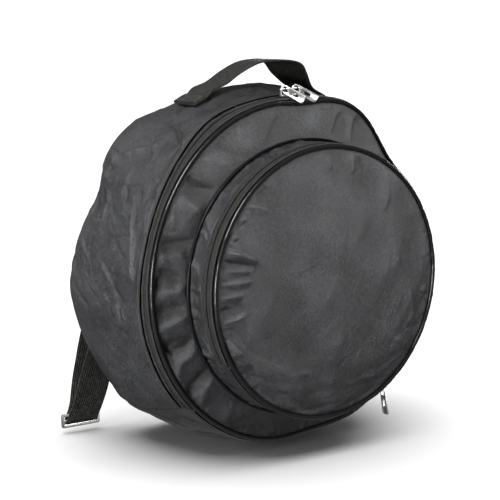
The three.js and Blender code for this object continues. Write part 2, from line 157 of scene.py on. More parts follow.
# looks: colours, sizes of patterns in millimetres, scales of noise, and how much each shows in tone, gloss and bump
clothLook = {
    "dark": (0.0065, 0.0067, 0.0073, 1), "light": (0.030, 0.0306, 0.0330, 1), "thread": 0.6, "hatch": 2.4,
    "cloudScale": 30.0, "grainScale": 420.0, "wrinkleScale": 52.0, "fineScale": 120.0, "fineWrinkle": 0.45,
    "tone": 0.4, "foldShadeTone": 0.3, "cloudTone": 0.8, "weaveTone": 0.06, "hatchTone": 0.14, "grainTone": 2.2,
    "rough": 0.48, "cloudRough": 0.3, "foldRough": 0.12,
    "wrinkleRise": -3.0, "patch": 3.2, "patchFrom": 0.6, "weaveRise": 0.25, "grainRise": 2.2, "hatchRise": 0.22,
    "bump": (0.55, 0.0005),
}


def paintCloth(start):
    look = clothLook
    along, across = alongAcross(start)
    weave = (along * perTurn(look["thread"])).sine() * (across * perTurn(look["thread"])).sine()
    place = inObject(start)
    cloud = start.noise(place, look["cloudScale"], 4.0)
    grain = start.noise(place, look["grainScale"], 2.0)
    hatch = ((along + across) * perTurn(look["hatch"])).sine()
    wrinkle = abs(start.noise(place, look["wrinkleScale"], 2.0) - 0.5)
    wrinkle = wrinkle + abs(start.noise(place, look["fineScale"], 2.0) - 0.5) * look["fineWrinkle"]
    fold, crumple = start.attribute("fold"), start.attribute("crumple")
    # the fold attribute paints light and shade into the colour: lighter on ridges, darker in hollows, seams and edges
    tone = look["tone"] + fold * look["foldShadeTone"] + (cloud - 0.5) * look["cloudTone"] + weave * look["weaveTone"]
    tone = (tone + hatch * look["hatchTone"] + (grain - 0.5) * look["grainTone"]).within(0.0, 1.0)
    rough = (look["rough"] + (cloud - 0.5) * look["cloudRough"] - fold * look["foldRough"]).within(0.3, 0.9)
    height = wrinkle * crumple * (cloud * look["patch"] - look["patchFrom"]) * look["wrinkleRise"]
    height = height + weave * look["weaveRise"] + grain * look["grainRise"] + hatch * look["hatchRise"]
    return {"Base Color": tone.between(look), "Roughness": rough, "Normal": height.bump(*look["bump"])}


tapeLook = {
    "dark": (0.004, 0.004, 0.0037, 1), "light": (0.040, 0.040, 0.0368, 1), "twill": 2.3,
    "cloudScale": 90.0, "fleckScale": 480.0, "tone": 0.34, "ribTone": 0.2, "cloudTone": 0.5, "fleckTone": 2.0,
    "rough": 0.72, "cloudRough": 0.2, "crossRise": 0.6, "bump": (0.6, 0.0004),
}


def paintTape(start):
    look = tapeLook
    along, across = alongAcross(start)
    rib = ((along + across) * perTurn(look["twill"])).sine()
    cross = ((along - across) * perTurn(look["twill"])).sine()
    cloud = start.noise(inObject(start), look["cloudScale"])
    fleck = start.noise(inObject(start), look["fleckScale"], 2.0)
    tone = look["tone"] + rib * look["ribTone"] + cross * look["ribTone"]
    tone = (tone + (cloud - 0.5) * look["cloudTone"] + (fleck - 0.5) * look["fleckTone"]).within(0.0, 1.0)
    return {"Base Color": tone.between(look), "Roughness": look["rough"] + (cloud - 0.5) * look["cloudRough"],
            "Normal": (rib + cross * look["crossRise"]).bump(*look["bump"])}


pipingLook = {
    "dark": (0.003, 0.0031, 0.0033, 1), "light": (0.012, 0.0123, 0.0129, 1), "thread": 1.6,
    "cloudScale": 120.0, "tone": 0.4, "twistTone": 0.1, "cloudTone": 0.5,
    "rough": 0.23, "cloudRough": 0.2, "twistRise": 0.5, "bump": (0.12, 0.0003),
}


def paintPiping(start):
    look = pipingLook
    along, across = alongAcross(start)
    twist = ((along + across) * perTurn(look["thread"])).sine()
    cloud = start.noise(inObject(start), look["cloudScale"])
    tone = (look["tone"] + twist * look["twistTone"] + (cloud - 0.5) * look["cloudTone"]).within(0.0, 1.0)
    return {"Base Color": tone.between(look), "Roughness": look["rough"] + (cloud - 0.5) * look["cloudRough"],
            "Normal": (twist * look["twistRise"] + cloud).bump(*look["bump"])}


webbingLook = {
    "dark": (0.004, 0.004, 0.0037, 1), "light": (0.040, 0.040, 0.0368, 1), "rib": 2.7, "pick": 2.0, "shift": 1.4,
    "cloudScale": 70.0, "fleckScale": 420.0, "tone": 0.34, "ribTone": 0.24, "pickTone": 0.18, "cloudTone": 0.5,
    "fleckTone": 2.2, "rough": 0.68, "cloudRough": 0.2, "pickRise": 0.7, "bump": (0.5, 0.0004),
}


def paintWebbing(start):
    look = webbingLook
    along, across = alongAcross(start)
    rib = (across * perTurn(look["rib"])).sine()
    pick = (along * perTurn(look["pick"]) + rib * look["shift"]).sine()
    cloud = start.noise(inObject(start), look["cloudScale"])
    fleck = start.noise(inObject(start), look["fleckScale"], 2.0)
    tone = look["tone"] + rib * look["ribTone"] + pick * look["pickTone"]
    tone = (tone + (cloud - 0.5) * look["cloudTone"] + (fleck - 0.5) * look["fleckTone"]).within(0.0, 1.0)
    return {"Base Color": tone.between(look), "Roughness": look["rough"] + (cloud - 0.5) * look["cloudRough"],
            "Normal": (rib + pick * look["pickRise"]).bump(*look["bump"])}


nickelLook = {
    "dark": (0.22, 0.22, 0.216, 1), "light": (0.44, 0.44, 0.432, 1), "cloudScale": 260.0, "scratchScale": 1500.0,
    "tone": 0.62, "cloudTone": 0.9, "rough": 0.32, "cloudRough": 0.2, "scratchRough": 0.12, "scratchRise": 0.3,
    "bump": (0.12, 0.0002),
}


def paintNickel(start):
    look = nickelLook
    place = inObject(start)
    cloud = start.noise(place, look["cloudScale"])
    scratch = start.noise(place, look["scratchScale"], 2.0)
    tone = (look["tone"] + (cloud - 0.5) * look["cloudTone"]).within(0.0, 1.0)
    rough = look["rough"] + (cloud - 0.5) * look["cloudRough"] + (scratch - 0.5) * look["scratchRough"]
    return {"Base Color": tone.between(look), "Roughness": rough.within(0.12, 0.5),
            "Normal": (cloud + scratch * look["scratchRise"]).bump(*look["bump"])}


# small plain finishes: one noise makes tone, gloss and bump uneven
coilLook = {"dark": (0.008, 0.008, 0.008, 1), "light": (0.026, 0.026, 0.025, 1), "scale": 400.0, "detail": 3.0,
            "rough": 0.42, "cloudRough": 0.2, "bump": (0.15, 0.0002)}
threadLook = {"dark": (0.010, 0.010, 0.0105, 1), "light": (0.045, 0.045, 0.046, 1), "scale": 1400.0, "detail": 2.0,
              "rough": 0.5, "cloudRough": 0.3, "bump": (0.3, 0.0002)}
# painted shadow: a near-black, rough finish for the cut rims of the sheets, standing in for the shade in the seams
rimShadowLook = {"dark": (0.0012, 0.0012, 0.0013, 1), "light": (0.005, 0.005, 0.0053, 1), "scale": 240.0, "detail": 3.0,
            "rough": 0.85, "cloudRough": 0.2, "bump": (0.2, 0.0003)}


def plainPaint(look):
    def paint(start):
        cloud = start.noise(inObject(start), look["scale"], look["detail"])
        return {"Base Color": cloud.between(look), "Roughness": look["rough"] + (cloud - 0.5) * look["cloudRough"],
                "Normal": cloud.bump(*look["bump"])}
    return paint


clothMaterial = makeMaterial("nylonCloth", {"Specular IOR Level": 0.36}, paintCloth)
tapeMaterial = makeMaterial("wovenTape", {"Specular IOR Level": 0.15}, paintTape)
pipingMaterial = makeMaterial("coveredCord", {"Specular IOR Level": 0.4}, paintPiping)
mattPipingMaterial = makeMaterial("mattCord", {"Specular IOR Level": 0.08}, paintPiping)
webbingMaterial = makeMaterial("ribbedWebbing", {"Specular IOR Level": 0.15}, paintWebbing)
nickelMaterial = makeMaterial("nickelPlate", {"Metallic": 1.0}, paintNickel)
coilMaterial = makeMaterial("nylonCoil", {"Specular IOR Level": 0.5}, plainPaint(coilLook))
rimShadowMaterial = makeMaterial("paintedRimShadow", {"Specular IOR Level": 0.05}, plainPaint(rimShadowLook))
threadMaterial = makeMaterial("sewingThread", {"Specular IOR Level": 0.4}, plainPaint(threadLook))
print("materials made")

# the bag's shape, in millimetres: angles from the top, clockwise from the front, depths from the front edge
bagShape = {"wallRadius": 179, "depth": 158, "axisHeight": 183, "backCorner": 14, "flatRadius": 125, "baseEnd": 135,
            "frontPush": 11, "backPush": 3, "seam": 0.4, "baseGap": 1.0}
halfDepth = bagShape["depth"] / 2
# dents and bulges of the rim: angle, degrees wide, depth, millimetres deep, outwards
rimDents = [
    (-15, 17, 95, 55, 6.5),  # lifted by the handle
    (17, 24, 92, 52, 12.5),  # full top of the side
    (22, 13, 8, 32, 6),  # edge stands up by the pulls
    (-43, 14, 150, 46, 12.5),  # shoulder at the back
    (-30, 13, 28, 22, 5),  # tape stands up
    (-62, 15, 145, 60, -10.7),  # hollow at the back
    (-74, 24, 28, 24, -7),  # hollow along the tape
    (-100, 20, 140, 50, 8.6),  # belly of the left side
    (-131, 13, 100, 55, 13),  # corner at the lower left
    (-157, 34, 92, 58, 12),  # sag at the lower left
    (152, 34, 92, 58, 15),  # sag at the lower right
    (174, 14, 0, 40, -6.4),  # front lifted off the floor
    (49, 15, 0, 42, -13.3),  # edge pushed in at the right
    (95, 24, 110, 50, 6),  # belly of the right side
    (2, 9, -2, 7, -4),  # edge under the pulls
    (0, 40, 158, 24, -5),  # slack top of the back
]


def hump(offset, reach):
    return np.exp(-(offset / reach) ** 2)


def ease(value, low, high):
    share = np.clip((value - low) / (high - low), 0, 1)
    return share * share * (3 - 2 * share)


def turnBetween(angle, other):
    return (angle - other + 180) % 360 - 180


def arc(angle, radius):
    return angle * math.radians(1) * radius


def onRing(angle, radius):
    return radius * np.sin(np.radians(angle)), radius * np.cos(np.radians(angle))


def bagPlace(angle, radius, depth):
    angle, radius, depth = np.broadcast_arrays(np.asarray(angle, float), radius, depth)
    out = np.zeros(angle.shape)
    for at, wide, inside, deep, rise in rimDents:
        out = out + rise * hump(turnBetween(angle, at), wide) * hump(depth - inside, deep)
    reach = radius + ease(radius, bagShape["flatRadius"], bagShape["wallRadius"] - bagShape["backCorner"]) * out
    side, up = onRing(angle, reach)
    height = np.maximum(bagShape["axisHeight"] + up, bagShape["wallRadius"] - radius)  # flat on the floor
    return np.stack([side, depth - halfDepth, height], -1)


pocketShape = {"radius": 139.5, "drop": 3.5, "dome": 5.7, "zipFrom": -120, "zipTo": 150, "back": -11.4,
               "gussetFront": -33.9, "stayFront": -52.3, "stayBack": -34.3}


def pocketPlace(angle, radius, depth):
    angle, radius, depth = np.broadcast_arrays(np.asarray(angle, float), radius, depth)
    side, up = onRing(angle, radius)
    return np.stack([side, depth - halfDepth, bagShape["axisHeight"] - pocketShape["drop"] + up], -1)


# steps that every piece shares
def activate(piece):
    bpy.ops.object.select_all(action="DESELECT")
    piece.select_set(True)
    bpy.context.view_layer.objects.active = piece


def finishBy(piece, kind, **settings):
    activate(piece)
    bpy.ops.object.modifier_add(type=kind)
    modifier = piece.modifiers[-1]
    for key, value in settings.items():
        setattr(modifier, key, value)
    bpy.ops.object.modifier_apply(modifier=modifier.name)


def roundEdges(piece, width, segments=3):
    finishBy(piece, "BEVEL", width=width, segments=segments, limit_method="ANGLE", angle_limit=math.radians(40))


def smoothBy(piece, degrees):
    activate(piece)
    bpy.ops.object.shade_smooth_by_angle(angle=math.radians(degrees))


def setMode(mode):
    bpy.ops.object.mode_set(mode=mode)


# pieces from points: a grid of places in millimetres becomes a sheet with its own UV in metres
def meshPiece(name, points, faces):
    mesh = bpy.data.meshes.new(name)
    mesh.from_pydata((points * mm).tolist(), [], faces)
    piece = bpy.data.objects.new(name, mesh)
    bpy.context.scene.collection.objects.link(piece)
    return piece


def gridFaces(rows, cols, closed):
    index = np.arange(rows * cols).reshape(rows, cols)
    if closed:
        index = np.concatenate([index, index[:, :1]], 1)
    quads = np.stack([index[:-1, :-1], index[:-1, 1:], index[1:, 1:], index[1:, :-1]], -1)
    return quads.reshape(-1, 4)


def gridPiece(name, points, uv, closed=False, turned=False):
    rows, cols = points.shape[:2]
    faces = gridFaces(rows, cols, closed)
    loops = np.stack([uv[:-1, :-1], uv[:-1, 1:], uv[1:, 1:], uv[1:, :-1]], -2).reshape(-1, 4, 2)
    if turned:
        faces, loops = faces[:, ::-1], loops[:, ::-1]
    piece = meshPiece(name, points.reshape(-1, 3), faces.tolist())
    layer = piece.data.uv_layers.new(name="UVMap")
    layer.data.foreach_set("uv", (loops.astype(np.float32) * mm).ravel())
    activate(piece)
    bpy.ops.object.shade_smooth()
    return piece


def gridNormals(points, closed):
    if closed:
        across = np.roll(points, -1, 1) - np.roll(points, 1, 1)
    else:
        across = np.gradient(points, axis=1)
    normal = np.cross(across, np.gradient(points, axis=0))
    return normal / np.maximum(np.linalg.norm(normal, axis=-1, keepdims=True), 1e-9)


def markFold(piece, rise, crumple):
    # fold is painted light and shade: ridges are painted lighter and hollows darker, less the painted seam and edge
    # shade that the callers subtract; crumple is how much small creasing the material shows
    for name, values in (("fold", np.clip(rise, -1, 1)), ("crumple", np.full(rise.shape, crumple))):
        layer = piece.data.attributes.new(name, "FLOAT", "POINT")
        layer.data.foreach_set("value", values.astype(np.float32).ravel())


def thicken(piece, thick):
    # the rim is the folded edge in the seam; its second slot takes a near-black painted shadow that stands in for the
    # shade in the seam
    piece.data.materials.append(None)
    piece.data.materials.append(None)
    finishBy(piece, "SOLIDIFY", thickness=thick * mm, offset=-1, material_offset_rim=1)


def dress(piece, material, slot, *nodes, body="bag"):
    # the rims take the near-black painted seam shadow
    if len(piece.data.materials) == 2:
        piece.data.materials[0], piece.data.materials[1] = material, rimShadowMaterial
    else:
        piece.data.materials.clear()
        piece.data.materials.append(material)
    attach(piece, body)
    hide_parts(*nodes)


# folds: each stroke has a path on the flat sheet, a width, a rise and a lean to one side
foldTip, foldFlank = 0.9, 1.5
pressed, relaxed = 0.4, 0.6  # shares of a fold's height before and after the cloth relaxes


def foldProfile(offset, wide, lean):
    # a crisp ridge, steeper on one flank
    flank = wide * (1 + lean * np.tanh(offset / foldFlank))
    return np.exp(-(np.sqrt(offset ** 2 + foldTip ** 2) - foldTip) / flank)


def strokeRise(along, up, strokes):
    total = np.zeros(along.shape)
    for path, wide, rise, lean in strokes:
        path = np.asarray(path, float)
        runs = np.linalg.norm(np.diff(path, axis=0), axis=1)
        nearest = np.full(along.shape, 1e9)
        side = np.zeros(along.shape)
        share = np.zeros(along.shape)
        done = 0.0
        for start, end, run in zip(path[:-1], path[1:], runs):
            way = (end - start) / max(run, 1e-9)
            fromStart = along - start[0], up - start[1]
            spot = np.clip(fromStart[0] * way[0] + fromStart[1] * way[1], 0, run)
            off = np.hypot(fromStart[0] - spot * way[0], fromStart[1] - spot * way[1])
            closer = off < nearest
            nearest = np.where(closer, off, nearest)
            side = np.where(closer, np.sign(fromStart[0] * way[1] - fromStart[1] * way[0]), side)
            share = np.where(closer, (done + spot) / runs.sum(), share)
            done += run
        fade = np.clip(np.minimum(share, 1 - share) * 4, 0.25, 1)  # down to a quarter at both ends
        total = total + rise * fade * foldProfile(nearest * side, wide, lean)
    return total


creaseHand = {"stray": 20, "bend": 0.35, "lean": 0.6}


def creases(source, count, low, high, long, wide, rise, lie=None):
    # lie is the direction in degrees that most creases take left of the middle, mirrored to its right
    strokes = []
    for _ in range(count):
        middle = np.array([source.uniform(low[0], high[0]), source.uniform(low[1], high[1])])
        turn = source.uniform(0, math.pi)
        if lie is not None:
            turn = math.radians(source.normal(lie if middle[0] < 0 else 180 - lie, creaseHand["stray"]))
        half = source.uniform(*long) / 2 * np.array([math.cos(turn), math.sin(turn)])
        bend = np.array([-half[1], half[0]]) * source.uniform(-creaseHand["bend"], creaseHand["bend"])
        path = [middle - half, middle + bend, middle + half]
        broad = source.uniform(*wide)
        tall = source.choice([-1, 1]) * source.uniform(*rise)
        strokes.append((path, broad, tall, source.uniform(-creaseHand["lean"], creaseHand["lean"])))
    return strokes


gatherHand = {"waves": 5, "spread": (0.6, 1.7), "level": 2.2}


def gathers(source, along, away, wave, rise, reach):
    total = np.zeros(np.broadcast_shapes(along.shape, away.shape))
    for _ in range(gatherHand["waves"]):
        phase = source.uniform(0, 2 * math.pi)
        total = total + np.cos(along * 2 * math.pi / (wave * source.uniform(*gatherHand["spread"])) + phase)
    return total * rise / gatherHand["level"] * np.exp(-np.maximum(away, 0) / reach)


def swells(source, along, up, count, waves, rise):
    total = np.zeros(np.broadcast_shapes(along.shape, up.shape))
    for _ in range(count):
        turn, phase = source.uniform(0, math.pi), source.uniform(0, 2 * math.pi)
        wave = 2 * math.pi / source.uniform(*waves)
        total = total + np.cos((along * math.cos(turn) + up * math.sin(turn)) * wave + phase)
    return total * rise / math.sqrt(count / 2)


def wallStrokes(rows):
    around = math.radians(1) * bagShape["wallRadius"]
    return [([(angle * around, depth) for angle, depth in path], *hand) for path, *hand in rows]


def panelStrokes(rows):
    turned = []
    for path, *hand in rows:
        turns = [(math.radians(angle), radius) for angle, radius in path]
        turned.append(([(radius * math.sin(turn), radius * math.cos(turn)) for turn, radius in turns], *hand))
    return turned


# side wall and base: cloth that wraps the back corner
sideWall = {"thick": 1.3, "columns": 520, "hem": 1.1, "lie": 54, "firstDepth": 22.0, "tuck": 0,
            "loose": (2, 12), "slack": 0.45, "cap": 2.2, "pressure": 2.0}
sideFolds = wallStrokes([
    ([(-62, 65), (-74, 48), (-91, 36)], 3.2, 2.6, 0.9),
    ([(-38, 81), (-44, 73), (-49, 70)], 4, 1.5, 0.5),
    ([(-29, 84), (-34, 68), (-39.5, 40), (-42, 31)], 4.5, -2.6, 0.8),
    ([(-26, 66), (-31, 48), (-37, 34)], 6, 2.2, 0.3),
    ([(-49, 126), (-46, 108), (-43, 86)], 3.5, 1.4, 0.6),
    ([(-48, 128), (-54.5, 139), (-59, 141)], 5, 2.0, 0.4),
    ([(-52, 96), (-60, 94), (-64, 100)], 6, 1.8, 0.4),
    ([(-59, 126), (-65.5, 122), (-72, 112)], 5, 2.2, 0.5),
    ([(-70.5, 143), (-72.5, 125), (-71, 110)], 2.4, 1.3, 0.6),
    ([(-79, 142), (-81.5, 131), (-85, 118)], 2.6, 1.3, 0.6),
    ([(-82.5, 97), (-87.5, 76), (-94, 61), (-107, 57)], 3.4, -2.4, -0.9),
    ([(-78, 69), (-82.5, 87), (-85, 95)], 3.2, 1.2, 0.5),
    ([(-87, 61), (-86, 49), (-83.5, 39)], 2.2, 1.5, 0.7),
    ([(-84, 40), (-90, 38)], 2.0, 1.3, 0.5),
    ([(-84.5, 92), (-90, 70)], 4.0, 1.6, 0.5),
    ([(-96, 60), (-101.5, 54), (-107, 60)], 4.0, 1.6, 0.5),
    ([(-108, 55), (-114, 66), (-121, 70)], 6, -1.4, 0.4),
    ([(-124, 67), (-134, 50)], 4.5, 1.1, 0.5),
    ([(-60, 43), (-67.5, 34), (-76, 32)], 5.5, 1.6, 0.3),
    ([(-112, 120), (-120, 100), (-128, 95)], 7, 1.6, 0.4),
    ([(-95, 120), (-103, 110), (-112, 112)], 6, -1.4, 0.5),
    ([(-20, 120), (-26, 105), (-30, 90)], 5, 1.2, 0.5),
    ([(-5, 60), (-12, 52), (-20, 50)], 5, -1.4, 0.5),
    ([(6, 118), (14, 88), (18, 50)], 6, 1.6, 0.5),
    ([(26, 130), (38, 112), (52, 110)], 6, -1.8, 0.6),
    ([(58, 50), (70, 66), (84, 62)], 4, 2.0, 0.7),
    ([(62, 120), (74, 108), (88, 112)], 6, 1.8, 0.4),
    ([(88, 90), (99, 74), (112, 78)], 4.5, -2.0, 0.7),
    ([(104, 124), (114, 108), (126, 100)], 6, 1.6, 0.4),
    ([(112, 48), (122, 58), (130, 52)], 4, 1.4, 0.5),
])

wrapRows = {"step": 1.85, "hemLong": 6, "hemRows": 10, "cornerRows": 10}


def wallProfile(firstDepth):
    wall, corner = bagShape["wallRadius"], bagShape["backCorner"]
    straight = bagShape["depth"] - corner
    hem = np.linspace(firstDepth, firstDepth + wrapRows["hemLong"], wrapRows["hemRows"])
    rows = int((straight - hem[-1]) / wrapRows["step"]) + 1
    depths = np.concatenate([hem[:-1], np.linspace(hem[-1], straight, rows)])
    turn = np.radians(np.linspace(0, 90, wrapRows["cornerRows"])[1:])
    radius = np.concatenate([np.full(len(depths), float(wall)), wall - corner * (1 - np.cos(turn))])
    depth = np.concatenate([depths, straight + corner * np.sin(turn)])
    run = np.concatenate([[0], np.cumsum(np.hypot(np.diff(radius), np.diff(depth)))]) + firstDepth
    return radius[:, None], depth[:, None], run[:, None]


# how the nylon behaves while it relaxes, in the simulation's own terms
clothFeel = {"quality": 6, "mass": 0.12, "air_damping": 4.0, "tension_stiffness": 30, "compression_stiffness": 30,
             "shear_stiffness": 12, "bending_stiffness": 0.5, "vertex_group_mass": "seam", "pin_stiffness": 1.0,
             "vertex_group_shrink": "slack", "shrink_min": 0.0, "shrink_max": -0.06}
clothFrames, clothWeight = 10, 0.1
looseHold = 0.97  # share of the seam's hold that loose cloth is free of


def vertexArray(vertices, key):
    values = np.zeros(len(vertices) * 3, np.float32)
    vertices.foreach_get(key, values)
    return values.reshape(-1, 3)


def relaxCloth(piece, loose, slack, cap, pressure=0.0):
    # the sheet is cut larger than its seams by the slack, so it buckles between them
    before = vertexArray(piece.data.vertices, "co")
    for group, weights in (("seam", 1 - looseHold * loose), ("slack", slack)):
        members = piece.vertex_groups.new(name=group)
        weights = np.round(weights, 2).ravel()
        for weight in np.unique(weights[weights > 0]):
            members.add(np.nonzero(np.isclose(weights, weight))[0].tolist(), float(weight), "REPLACE")
    activate(piece)
    bpy.ops.object.modifier_add(type="CLOTH")
    cloth = piece.modifiers[-1]
    for key, value in clothFeel.items():
        setattr(cloth.settings, key, value)
    cloth.settings.effector_weights.gravity = clothWeight
    if pressure:
        cloth.settings.use_pressure = True
        cloth.settings.uniform_pressure_force = pressure
    cloth.collision_settings.use_collision = False
    cloth.point_cache.frame_start, cloth.point_cache.frame_end = 1, clothFrames
    for number in range(1, clothFrames + 1):
        bpy.context.scene.frame_set(number)
    shown = piece.evaluated_get(bpy.context.evaluated_depsgraph_get()).data
    moved = vertexArray(shown.vertices, "co") - before
    far = np.linalg.norm(moved, axis=1, keepdims=True)
    moved = moved * np.minimum(1, cap * mm / np.maximum(far, 1e-9))
    bpy.ops.object.modifier_remove(modifier=cloth.name)
    piece.vertex_groups.clear()
    piece.data.vertices.foreach_set("co", (before + moved).ravel())
    piece.data.update()
    bpy.context.scene.frame_set(1)
    print(piece.name, "relaxed, moved up to", round(float(np.linalg.norm(moved, axis=1).max()) / mm, 1), "mm")


def raisePiece(piece, rise):
    # presses the folds in along the cloth's own normals, and keeps them off the floor
    vertices = piece.data.vertices
    spots = vertexArray(vertices, "co") + vertexArray(vertices, "normal") * (rise * mm)[:, None]
    spots[:, 2] = np.maximum(spots[:, 2], 0)
    vertices.foreach_set("co", spots.astype(np.float32).ravel())
    piece.data.update()


def seamWave(depth):
    # the sewn line between wall and base wanders a little, and drops towards the front
    wander = 1.2 * (1 - ease(depth, 45, 90)) + 0.5 * np.sin(depth / 9.0)
    return wander * ease(depth, 24, 42) * (1 - ease(depth, 130, 150))


# small creases by length, width and rise; swells by number, wave lengths and rise; gathers by wave, rise and reach
wrapLook = {"tucked": 2.2, "tuckFrom": 0.7, "tuckTo": 2.6, "seamReach": 14, "creaseEvery": 4.2,
            "creases": ((20, 62), (1.6, 4.2), (0.35, 1.25)), "swells": (9, (26, 70), 0.4), "gathers": (13, 0.35, 7),
            "edgeFade": (0.5, 9), "gatherFade": (0, 3), "seamAt": 3.8, "seamWide": 0.9, "edgeShade": 0.8,
            "riseForFullShade": 2.2, "shade": 1.3, "crumple": 1.0}
hemRidges = [(1.2, 2.2, 0.45), (wrapLook["seamAt"], wrapLook["seamWide"], -0.75), (6.5, 2.0, 0.25)]


def wrapSheet(name, size, fromAngle, toAngle, folds, source):
    look = wrapLook
    trim = math.degrees(bagShape["baseGap"] / bagShape["wallRadius"])
    tucked = look["tucked"] if size["tuck"] else 0  # degrees that run on under the wall
    angle = np.linspace(fromAngle + trim - tucked, toAngle - trim + tucked, size["columns"])[None, :]
    fromEnd = np.minimum(angle - fromAngle, toAngle - angle)
    tuck = size["tuck"] * (1 - ease(fromEnd, trim * look["tuckFrom"], trim * look["tuckTo"]))
    radius, depth, run = wallProfile(size["firstDepth"])
    fromSeam = 1 - ease(angle - fromAngle, 0, look["seamReach"])
    toSeam = 1 - ease(toAngle - angle, 0, look["seamReach"])
    angle = angle + seamWave(depth) * (toSeam - fromSeam if fromAngle < 0 else fromSeam - toSeam)
    flat = bagPlace(angle, radius, depth)
    along, run = np.broadcast_arrays(arc(angle, bagShape["wallRadius"]), run)
    first, last = along.min(), along.max()
    low, high = (first, size["firstDepth"]), (last, bagShape["depth"])
    small = creases(source, int((last - first) / look["creaseEvery"]), low, high, *look["creases"], size["lie"])
    rise = strokeRise(along, run, folds + small) + swells(source, along, run, *look["swells"])
    fromHem = run - run.min()
    inside = np.minimum(np.minimum(along - first, last - along), np.minimum(fromHem, run.max() - run))
    rise = rise * ease(inside, *look["edgeFade"])
    rise = rise + gathers(source, along, fromHem, *look["gathers"]) * ease(fromHem, *look["gatherFade"])
    hem = size["hem"] * sum(tall * hump(fromHem - at, wide) for at, wide, tall in hemRidges) - tuck
    # painted shade: darker along the sheet's edges, in the hem's seam groove and where the base tucks under the wall
    shade = np.maximum(hump(inside, look["edgeShade"]), hump(fromHem - look["seamAt"], look["seamWide"]))
    shade = np.maximum(shade, tuck / max(size["tuck"], 1))
    points = flat + gridNormals(flat, False) * (pressed * rise)[..., None]
    piece = gridPiece(name, points, np.stack([along, run], -1))
    markFold(piece, rise / look["riseForFullShade"] - look["shade"] * shade, look["crumple"])
    return piece, inside.ravel(), (relaxed * rise + hem).ravel()


wallSource = np.random.default_rng(21)
baseEnd = bagShape["baseEnd"]
sidePiece, inside, rise = wrapSheet("sideWallCloth", sideWall, -baseEnd, baseEnd, sideFolds, wallSource)
loose = ease(inside, *sideWall["loose"])
relaxCloth(sidePiece, loose, loose * sideWall["slack"], sideWall["cap"], sideWall["pressure"])
raisePiece(sidePiece, rise)
thicken(sidePiece, sideWall["thick"])
dress(sidePiece, clothMaterial, "nylon_cloth", "side_wall")

baseCloth = {"thick": 1.3, "columns": 200, "hem": 0.5, "lie": None, "firstDepth": 2.9, "tuck": 2.4}
baseFolds = wallStrokes([
    ([(146, 30), (153, 60), (150, 100)], 7, 1.4, 0.4),
    ([(205, 34), (210, 60), (207, 96)], 6, 1.4, 0.4),
    ([(214, 20), (219, 40), (216, 66)], 5, -1.5, 0.5),
    ([(188, 12), (196, 22), (204, 20)], 5, 1.0, 0.4),
])
basePiece, _, rise = wrapSheet("baseCloth", baseCloth, baseEnd, 360 - baseEnd, baseFolds, wallSource)
raisePiece(basePiece, rise)
thicken(basePiece, baseCloth["thick"])
dress(basePiece, clothMaterial, "nylon_cloth", "base_gusset")
print("side and base sewn")

# back panel and front panel: round sheets in rings
backPanel = {"thick": 1.3, "columns": 240, "edge": 164.75, "foldDepth": 1.0, "shade": 0, "shadeContrast": 1,
             "creases": 30, "fadeIn": (126, 140), "fadeOut": (158, 164), "push": (100, 166), "turned": True}
backFolds = panelStrokes([
    ([(-40, 158), (-52, 120), (-60, 90)], 8, 1.0, 0.4),
    ([(30, 156), (24, 120), (10, 96)], 9, -1.0, 0.4),
    ([(120, 150), (112, 118)], 8, 1.0, 0.4),
    ([(-130, 152), (-120, 118)], 8, -1.0, 0.4),
])

ringLook = {"creases": ((14, 40), (2.2, 5), (0.2, 0.7)), "swells": (9, (22, 50), 0.3), "gathers": (11, 0.45, 5),
            "gatherFade": (0, 2.5), "riseForFullShade": 2.2, "edgeShade": 1.1, "edgeReach": 1.6, "crumple": 0.8}
pocketShade = {"radius": 142, "wide": 14, "angle": -28, "reach": 50}  # painted shade: the front panel is darker beside the pocket's upper left


def ringSheet(name, size, radii, faceDepth, folds, source):
    look = ringLook
    angle = np.linspace(-180, 180, size["columns"], endpoint=False)[None, :]
    radius = radii[:, None]
    points = bagPlace(angle, radius, faceDepth(radius))
    side, up = onRing(angle, radius)
    small = creases(source, size["creases"], (-radii[-1], -radii[-1]), (radii[-1], radii[-1]), *look["creases"])
    rise = size["foldDepth"] * strokeRise(side, up, folds + small) + swells(source, side, up, *look["swells"])
    radius, angle = np.broadcast_arrays(radius, angle)
    rise = rise * ease(radius, *size["fadeIn"]) * (1 - ease(radius, *size["fadeOut"]))
    edge = size["edge"] - radius
    rise = np.where(edge < 0, 0, rise)
    ruffle = gathers(source, arc(angle, size["edge"]), edge, *look["gathers"])
    rise = rise + ruffle * ease(edge, *look["gatherFade"]) * ease(radius, *size["fadeIn"])
    points[..., 1] += pressed * (rise if size["turned"] else -rise)
    uv = np.stack([side, up], -1)
    piece = gridPiece(name, points, np.concatenate([uv, uv[:, :1]], 1), True, size["turned"])
    shade = hump(radius - pocketShade["radius"], pocketShade["wide"])
    shade = size["shade"] * shade * hump(turnBetween(angle, pocketShade["angle"]), pocketShade["reach"])
    # painted shade: darker at the panel's edge by the piping and beside the pocket, with folds painted lighter and
    # darker
    edgeShade = look["edgeShade"] * hump(np.maximum(edge, 0), look["edgeReach"])
    markFold(piece, size["shadeContrast"] * rise / look["riseForFullShade"] - edgeShade - shade, look["crumple"])
    return piece, radius.ravel(), relaxed * rise.ravel()


def closeMiddle(piece):
    activate(piece)
    setMode("EDIT")
    bpy.ops.mesh.select_all(action="SELECT")
    bpy.ops.mesh.remove_doubles(threshold=1e-5)
    setMode("OBJECT")


panelSource = np.random.default_rng(5)
backRadii = np.concatenate([[0], np.linspace(6, 120, 22), np.linspace(124, backPanel["edge"], 12)])


def backDepth(radius):
    return bagShape["depth"] + bagShape["backPush"] * (1 - ease(radius, *backPanel["push"]))


backPiece, _, rise = ringSheet("backPanelCloth", backPanel, backRadii, backDepth, backFolds, panelSource)
raisePiece(backPiece, rise)
closeMiddle(backPiece)
thicken(backPiece, backPanel["thick"])
dress(backPiece, clothMaterial, "nylon_cloth", "back_panel")

